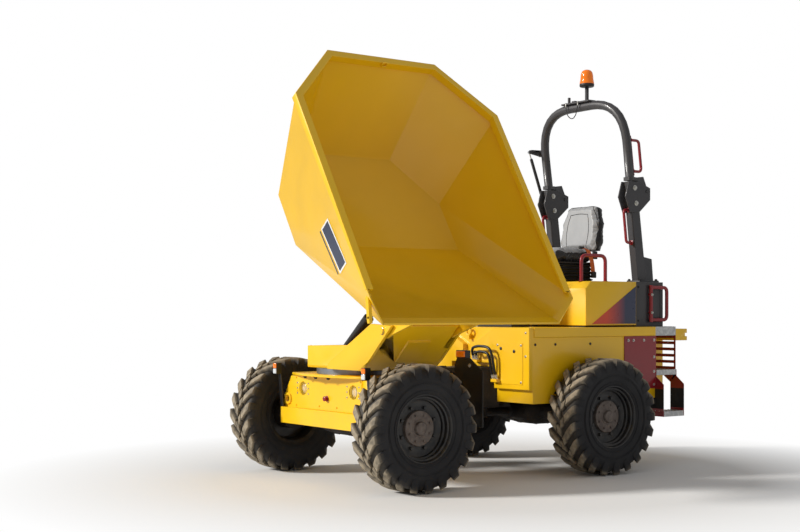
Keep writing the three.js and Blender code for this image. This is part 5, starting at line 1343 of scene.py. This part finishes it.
# ---- lamps --------------------------------------------------------------------------------------
def build_lamps():
    x, z = post_x(BEACON_Z), BEACON_Z + 125.9
    upright = Matrix.Translation((x, BEACON_Y, z)) @ along("z", 0, 0, 0)
    made("beacon_base", lathe, ([(0, 0), (56, 0), (62, 6), (63, 22), (60, 28), (0, 28)], upright, 48),
         black_plastic(), "folding_hoop", "black_plastic", smooth=50)
    made("beacon_dome", lathe, ([(0, 27), (61, 27), (62, 34), (60, 40), (60.5, 44), (58, 50), (58.5, 54),
                                 (56, 60), (56.5, 64), (54.5, 70), (55, 74), (53, 100), (48, 122),
                                 (38, 138), (20, 147), (0, 149.5)], upright, 48), amber_lens(),
                                 "folding_hoop", "amber_lens", smooth=50, replaced=["beacon_lamp"])
    for side, hand in ((1, "left"), (-1, "right")):
        y = side * HEADLIGHT_Y
        forward = along("x", 0, y, HEADLIGHT_Z)
        # the housing's black face behind the glass stands in place of the lamp's reflector: painted shade
        # that keeps the guard's slots dark
        made("headlight_%s_housing" % hand, lathe,
             ([(36, 154), (38, 160), (51, 158), (52, 154), (52, 110), (30, 96), (0, 96), (0, 154)],
              forward, 40), black_plastic(), "front_chassis", "black_plastic", smooth=50)
        made("headlight_%s_glass" % hand, lathe,
             ([(0, 163), (20, 162), (33, 159), (36, 157), (36, 155), (0, 155)], forward, 40),
             clear_lens(), "front_chassis", "clear_lens", smooth=50, replaced=["headlight_" + hand])
        bars = bmesh.new()
        for k in range(-2, 3):
            shift = k * 17.5
            chord = math.sqrt((HEADLIGHT_HOLE + 0.2) ** 2 - min(abs(shift) + 3.6, HEADLIGHT_HOLE) ** 2)
            block(bars, (170.3, 172.8), (y + shift - 3.6, y + shift + 3.6),
                  (HEADLIGHT_Z - chord, HEADLIGHT_Z + chord))
        piece("headlight_%s_guard" % hand, bars, yellow_enamel(), "front_chassis", "yellow_paint", chamfer=1)
        y = side * MARKER_Y
        made("light_cluster_%s_amber" % hand, stacked_lens, ((264, 271), (y - 23, y + 23), (833, 871)),
             amber_lens(), "front_chassis", "amber_lens", smooth=40)
        made("light_cluster_%s_clear" % hand, stacked_lens, ((264, 271), (y - 23, y + 23), (791, 829)),
             clear_lens(), "front_chassis", "clear_lens", smooth=40)
        y = side * 720
        made("marker_lamp_%s" % hand, stacked_lens, ((-531, -522), (y - 50, y + 50), (940, 984)),
             amber_lens(), "front_chassis", "amber_lens", smooth=40)
        made("tail_lamp_%s" % hand, stacked_lens,
             ((-3016, -3008), (side * 560 - 55, side * 560 + 55), (1042, 1090)), red_lens(),
             "rear_chassis", "amber_lens", smooth=40)


def stacked_lens(mesh, x, y, z):
    """A lens block with a crowned, softened face at its second x end."""
    cy, cz = (y[0] + y[1]) / 2, (z[0] + z[1]) / 2
    hy, hz = (y[1] - y[0]) / 2, (z[1] - z[0]) / 2
    rings = []
    for share, grow in ((0, 0.0), (0.55, 0.0), (0.85, 2.0), (1.0, 6.0)):
        outline = rounded_outline(hy - grow, hz - grow, max(2.0, 7 - grow))
        rings.append([mesh.verts.new((x[0] + (x[1] - x[0]) * share, cy + a, cz + b)) for a, b in outline])
    for first, second in zip(rings, rings[1:]):
        for i in range(len(first)):
            j = (i + 1) % len(first)
            mesh.faces.new((first[i], first[j], second[j], second[i]))
    mesh.faces.new(rings[0])
    mesh.faces.new(rings[-1])


# ---- fittings -----------------------------------------------------------------------------------
def ring_eye(mesh, place, radius, wire, sides=28):
    """A round eye in the plane across the place's y axis."""
    ring = [(radius + wire * math.cos(a), wire * math.sin(a))
            for a in (2 * math.pi * i / 10 for i in range(10))]
    lathe(mesh, ring, place, sides, closed=True)


def film(name, target, corners, aim, material, body, slot, cells=(14, 14), lift=0.9):
    """A thin film between four corners in millimetres, laid along aim onto a node's face."""
    data = frame["nodes"][target].data
    tree = BVHTree.FromPolygons([v.co for v in data.vertices], [list(p.vertices) for p in data.polygons])
    mesh = bmesh.new()
    a, b, c, d = [Vector(p) for p in corners]
    ray = (GROUND.to_3x3().normalized() @ Vector(aim)).normalized()
    grid = []
    for i in range(cells[0] + 1):
        row = []
        for j in range(cells[1] + 1):
            s, t = i / cells[0], j / cells[1]
            spot = a.lerp(b, s).lerp(d.lerp(c, s), t)
            hit = tree.ray_cast(GROUND @ spot - ray * 0.4, ray)[0]
            if hit is None:
                raise ValueError(name + " misses " + target)
            row.append(mesh.verts.new(hit - ray * lift * MM))
        grid.append(row)
    for i in range(cells[0]):
        for j in range(cells[1]):
            corner = (grid[i][j], grid[i + 1][j], grid[i + 1][j + 1], grid[i][j + 1])
            mesh.faces.new(corner)
    bmesh.ops.remove_doubles(mesh, verts=mesh.verts[:], dist=1e-6)
    bmesh.ops.solidify(mesh, geom=mesh.faces[:], thickness=0.0004)
    bmesh.ops.recalc_face_normals(mesh, faces=mesh.faces[:])
    thing = shown(name, mesh, material)
    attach(thing, body)
    return thing


def build_fittings():
    panel = [((PANEL_FACE_X, y, z), FACING["+x"]) for y, z in (
        (-440, 765), (440, 765), (-440, 552), (440, 552), (-110, 560), (130, 560), (-420, 660), (420, 660))]
    repeated("front_panel_bolts", hexagon_bolt(10, 1), panel, yellow_enamel(), "front_chassis")
    lamps = [((PANEL_FACE_X, s * HEADLIGHT_Y + out * 78, HEADLIGHT_Z + up), FACING["+x"])
             for s in (-1, 1) for out in (-1, 1) for up in (-40, 0, 40)]
    repeated("headlight_screws", hexagon_bolt(8, 1), lamps, zinc(), "front_chassis")
    under = [((240 - 70 * (y / 480) ** 2, y, 785.2), FACING["-z"]) for y in (-230, -60, 110)]
    repeated("turntable_screws", hexagon_bolt(22, 3), under, black_enamel(), "front_chassis")
    boss = bmesh.new()
    for side in (-1, 1):
        ring = [(27, 168), (46, 168), (46, 178), (43, 181), (30, 181), (27, 178)]
        lathe(boss, ring, along("x", 0, side * 563, 597), 28, closed=True)
    piece("lift_lug_bosses", boss, yellow_enamel(), "front_chassis", "yellow_paint", smooth=40)
    guards = [((-550, s * y, z), FACING["+x"]) for s in (-1, 1)
              for y, z in ((660, 600), (660, 660), (800, 880))]
    repeated("mudguard_bolts", hexagon_bolt(16), guards, zinc(), "front_chassis")
    made("isolator_knob", lathe,
         ([(0, 172), (22, 172), (22, 178), (15, 180), (15, 188), (19, 192), (19, 200), (14, 204),
           (0, 204)], along("x", 0, -3, 622), 32), red_enamel(), "front_chassis", "red_paint", smooth=50)
    eye = bmesh.new()
    ring_eye(eye, along("x", -1238, -58, 1112), 27, 9)
    block(eye, (-1268, -1232), (-66, -50), (1050, 1092))
    piece("scuttle_lifting_eye", eye, yellow_enamel(), "rear_chassis", "yellow_paint", smooth=50)
    made("scuttle_door", block, ((-1227.6, -1223.5), (300, 618), (706, 1030)), yellow_enamel(),
         "rear_chassis", "yellow_paint", chamfer=1.5)
    catch = bmesh.new()
    for y, z in ((519, 965), (360, 985)):
        lathe(catch, [(0, -1224), (13, -1224), (13, -1220), (9, -1217), (0, -1217)], along("x", 0, y, z), 20)
    piece("scuttle_door_catches", catch, black_plastic(), "rear_chassis", "black_plastic", smooth=50)
    scuttle = [((x, y, z), FACING["+x"]) for x, y, z in (
        (BODY_FACE_X, 648, 927), (BODY_FACE_X, 650, 1110), (DOOR_FACE_X, 320, 1012), (DOOR_FACE_X, 600, 1012),
        (DOOR_FACE_X, 320, 724), (DOOR_FACE_X, 600, 724), (BODY_FACE_X, -650, 1110), (BODY_FACE_X, -650, 720),
        (BODY_FACE_X, -400, 1110))]
    repeated("scuttle_bolts", hexagon_bolt(11, 1), scuttle, zinc(), "rear_chassis")
    # black washers and heads on the body sides: the black is painted shade for the holes that the bolts sit
    # in
    wall = [((x, s * 690, z), FACING["+y" if s > 0 else "-y"]) for s in (-1, 1)
            for x, z in ((-1876, 1019), (-1500, 1019), (-1500, 640), (-1290, 1019))]
    repeated("body_side_plugs", hexagon_bolt(12, 1.5), wall, black_plastic(), "rear_chassis")
    nuts = [((post_x(z), side * POST_Y + out * 48, z), FACING["+y" if out > 0 else "-y"])
            for side, out in ((1, 1), (1, -1), (-1, 1)) for z in (SPLIT_Z - 62, SPLIT_Z - 190)]
    repeated("hoop_hinge_nuts", hexagon_bolt(24, 2.5), nuts, zinc(), "rear_chassis")
    flange = [((post_x(HOOD_TOP_Z) + dx, s * POST_Y + dy, 1537), FACING["+z"])
              for s in (-1, 1) for dx in (-140, 60) for dy in (-58, 58)]
    repeated("post_flange_bolts", hexagon_bolt(19, 2.5), flange, black_enamel(), "rear_chassis")
    tower = [((x, s * 625, z), FACING["+y" if s > 0 else "-y"]) for s in (-1, 1)
             for x, z in ((-2490, 1200), (-2490, 1480), (-2620, 1480), (-2620, 1200))]
    repeated("tower_bolts", hexagon_bolt(12, 1), tower, black_enamel(), "rear_chassis")
    # the amber lens glows a little, so this reflector carries a painted glow
    made("swivel_reflector", stacked_lens, ((149.5, 156), (178, 222), (884, 926)), amber_lens(),
         "turntable", "amber_lens", smooth=40)
    made("tip_pin_cap", lathe, ([(0, 234), (26, 234), (26, 243), (18, 246), (0, 246)],
                                along("x", 0, 800, 1140), 28), zinc(), "turntable", "bright_steel", smooth=50)


def build_skip_details():
    made("skip_corner_plate", prism,
         ([(120, 640), (262, 566), (286, 556), (276, 532), (250, 540), (120, 604)], (-872, -846)),
         yellow_enamel(), "skip", "yellow_paint", SKIP, chamfer=1.5)
    made("skip_corner_pin", lathe,
         ([(0, -872), (9, -872), (9, -846), (0, -846)], along("y", 248, 0, 560), 14), zinc(), "skip",
         "bright_steel", SKIP)
    made("skip_rim_eye", ring_eye, (along("x", -1890, 0, 690), 22, 6), yellow_enamel(), "skip",
         "yellow_paint", SKIP, smooth=50)


def build_films():
    def on_wall(points):
        return [(760, y, z) for y, z in points]
    border = on_wall(((907, 1899), (785, 1833), (1023, 1525), (1140, 1591)))
    film("skip_panel_border", "skip_tub", border, (-1, 0, 0), pale_film(), "skip", "yellow_paint")
    inner = on_wall(((904, 1881), (804, 1827), (1026, 1543), (1122, 1597)))
    film("skip_panel", "skip_tub", inner, (-1, 0, 0), dark_film(), "skip", "black_paint", lift=1.8)
    rule = on_wall(((766, 1822), (755, 1816), (985, 1520), (996, 1526)))
    film("skip_rule", "skip_tub", rule, (-1, 0, 0), dark_film(), "skip", "black_paint")
    for side, hand in ((1, "left"), (-1, "right")):
        y = side * 700
        corners = [(-2460, y, 1176), (-1960, y, 1176), (-1960, y, 1177), (-2460, y, 1486)]
        film("hood_triangle_" + hand, "seat_box", corners, (0, -side, 0), fading_film(), "rear_chassis",
             "yellow_paint", cells=(12, 12))


# ---- operators ----------------------------------------------------------------------------------
class DUMPER_OT_stage(bpy.types.Operator):
    """Camera, lights, floor and white background"""
    bl_idname = "dumper.stage"
    bl_label = "Studio"

    def execute(self, context):
        build_stage()
        return {"FINISHED"}


class DUMPER_OT_cords(bpy.types.Operator):
    """The two hydraulic hoses and the beacon's lead"""
    bl_idname = "dumper.cords"
    bl_label = "Hoses and lead"

    def execute(self, context):
        build_cords()
        return {"FINISHED"}


class DUMPER_OT_painted_metal(bpy.types.Operator):
    """Enamel, castings and rams with eased edges"""
    bl_idname = "dumper.painted_metal"
    bl_label = "Painted metal"

    def execute(self, context):
        build_painted_metal()
        return {"FINISHED"}


class DUMPER_OT_steps(bpy.types.Operator):
    """Steps, skirts and tread plate"""
    bl_idname = "dumper.steps"
    bl_label = "Steps and deck"

    def execute(self, context):
        build_steps()
        return {"FINISHED"}


class DUMPER_OT_tyres(bpy.types.Operator):
    """Carcasses and lugs of the four tyres"""
    bl_idname = "dumper.tyres"
    bl_label = "Tyres"

    def execute(self, context):
        build_tyres()
        return {"FINISHED"}


class DUMPER_OT_rims(bpy.types.Operator):
    """Wheel pressings, hubs and nuts"""
    bl_idname = "dumper.rims"
    bl_label = "Rims"

    def execute(self, context):
        build_rims()
        return {"FINISHED"}


class DUMPER_OT_seat(bpy.types.Operator):
    """Padded seat, seams, bellows and belt"""
    bl_idname = "dumper.seat"
    bl_label = "Seat"

    def execute(self, context):
        build_seat()
        return {"FINISHED"}


class DUMPER_OT_handles(bpy.types.Operator):
    """Grab rails and handles"""
    bl_idname = "dumper.handles"
    bl_label = "Handles"

    def execute(self, context):
        build_handles()
        return {"FINISHED"}


class DUMPER_OT_controls(bpy.types.Operator):
    """Steering wheel and dash"""
    bl_idname = "dumper.controls"
    bl_label = "Controls"

    def execute(self, context):
        build_controls()
        return {"FINISHED"}


class DUMPER_OT_lamps(bpy.types.Operator):
    """Beacon, headlights and marker lamps"""
    bl_idname = "dumper.lamps"
    bl_label = "Lamps"

    def execute(self, context):
        build_lamps()
        return {"FINISHED"}


class DUMPER_OT_fittings(bpy.types.Operator):
    """Bolts, knob and eyes"""
    bl_idname = "dumper.fittings"
    bl_label = "Fittings"

    def execute(self, context):
        build_fittings()
        return {"FINISHED"}


class DUMPER_OT_skip_details(bpy.types.Operator):
    """Corner plate, pin and eye of the skip"""
    bl_idname = "dumper.skip_details"
    bl_label = "Skip details"

    def execute(self, context):
        build_skip_details()
        return {"FINISHED"}


class DUMPER_OT_films(bpy.types.Operator):
    """Plain vinyl panels and stripes"""
    bl_idname = "dumper.films"
    bl_label = "Films"

    def execute(self, context):
        build_films()
        return {"FINISHED"}


OPERATORS = (
    DUMPER_OT_stage,
    DUMPER_OT_cords,
    DUMPER_OT_painted_metal,
    DUMPER_OT_steps,
    DUMPER_OT_tyres,
    DUMPER_OT_rims,
    DUMPER_OT_seat,
    DUMPER_OT_handles,
    DUMPER_OT_controls,
    DUMPER_OT_lamps,
    DUMPER_OT_fittings,
    DUMPER_OT_skip_details,
    DUMPER_OT_films,
)


class DUMPER_PT_panel(bpy.types.Panel):
    bl_label = "Site Dumper"
    bl_idname = "DUMPER_PT_panel"
    bl_space_type = "VIEW_3D"
    bl_region_type = "UI"
    bl_category = "Site Dumper"

    def draw(self, context):
        for name in SETTINGS:
            box = self.layout.box()
            settings = getattr(context.scene, name)
            for key in settings.bl_rna.properties.keys():
                if key not in ("rna_type", "name"):
                    box.prop(settings, key)
        for item in OPERATORS:
            self.layout.operator(item.bl_idname)


CLASSES = (*SETTINGS.values(), *OPERATORS, DUMPER_PT_panel)


def register():
    for item in CLASSES:
        bpy.utils.register_class(item)
    for name, group in SETTINGS.items():
        setattr(bpy.types.Scene, name, PointerProperty(type=group))


def unregister():
    for name in SETTINGS:
        delattr(bpy.types.Scene, name)
    for item in reversed(CLASSES):
        bpy.utils.unregister_class(item)


def main():
    register()
    for item in OPERATORS:
        getattr(bpy.ops.dumper, item.bl_idname.split(".")[1])()


if __name__ == "__main__":
    main()
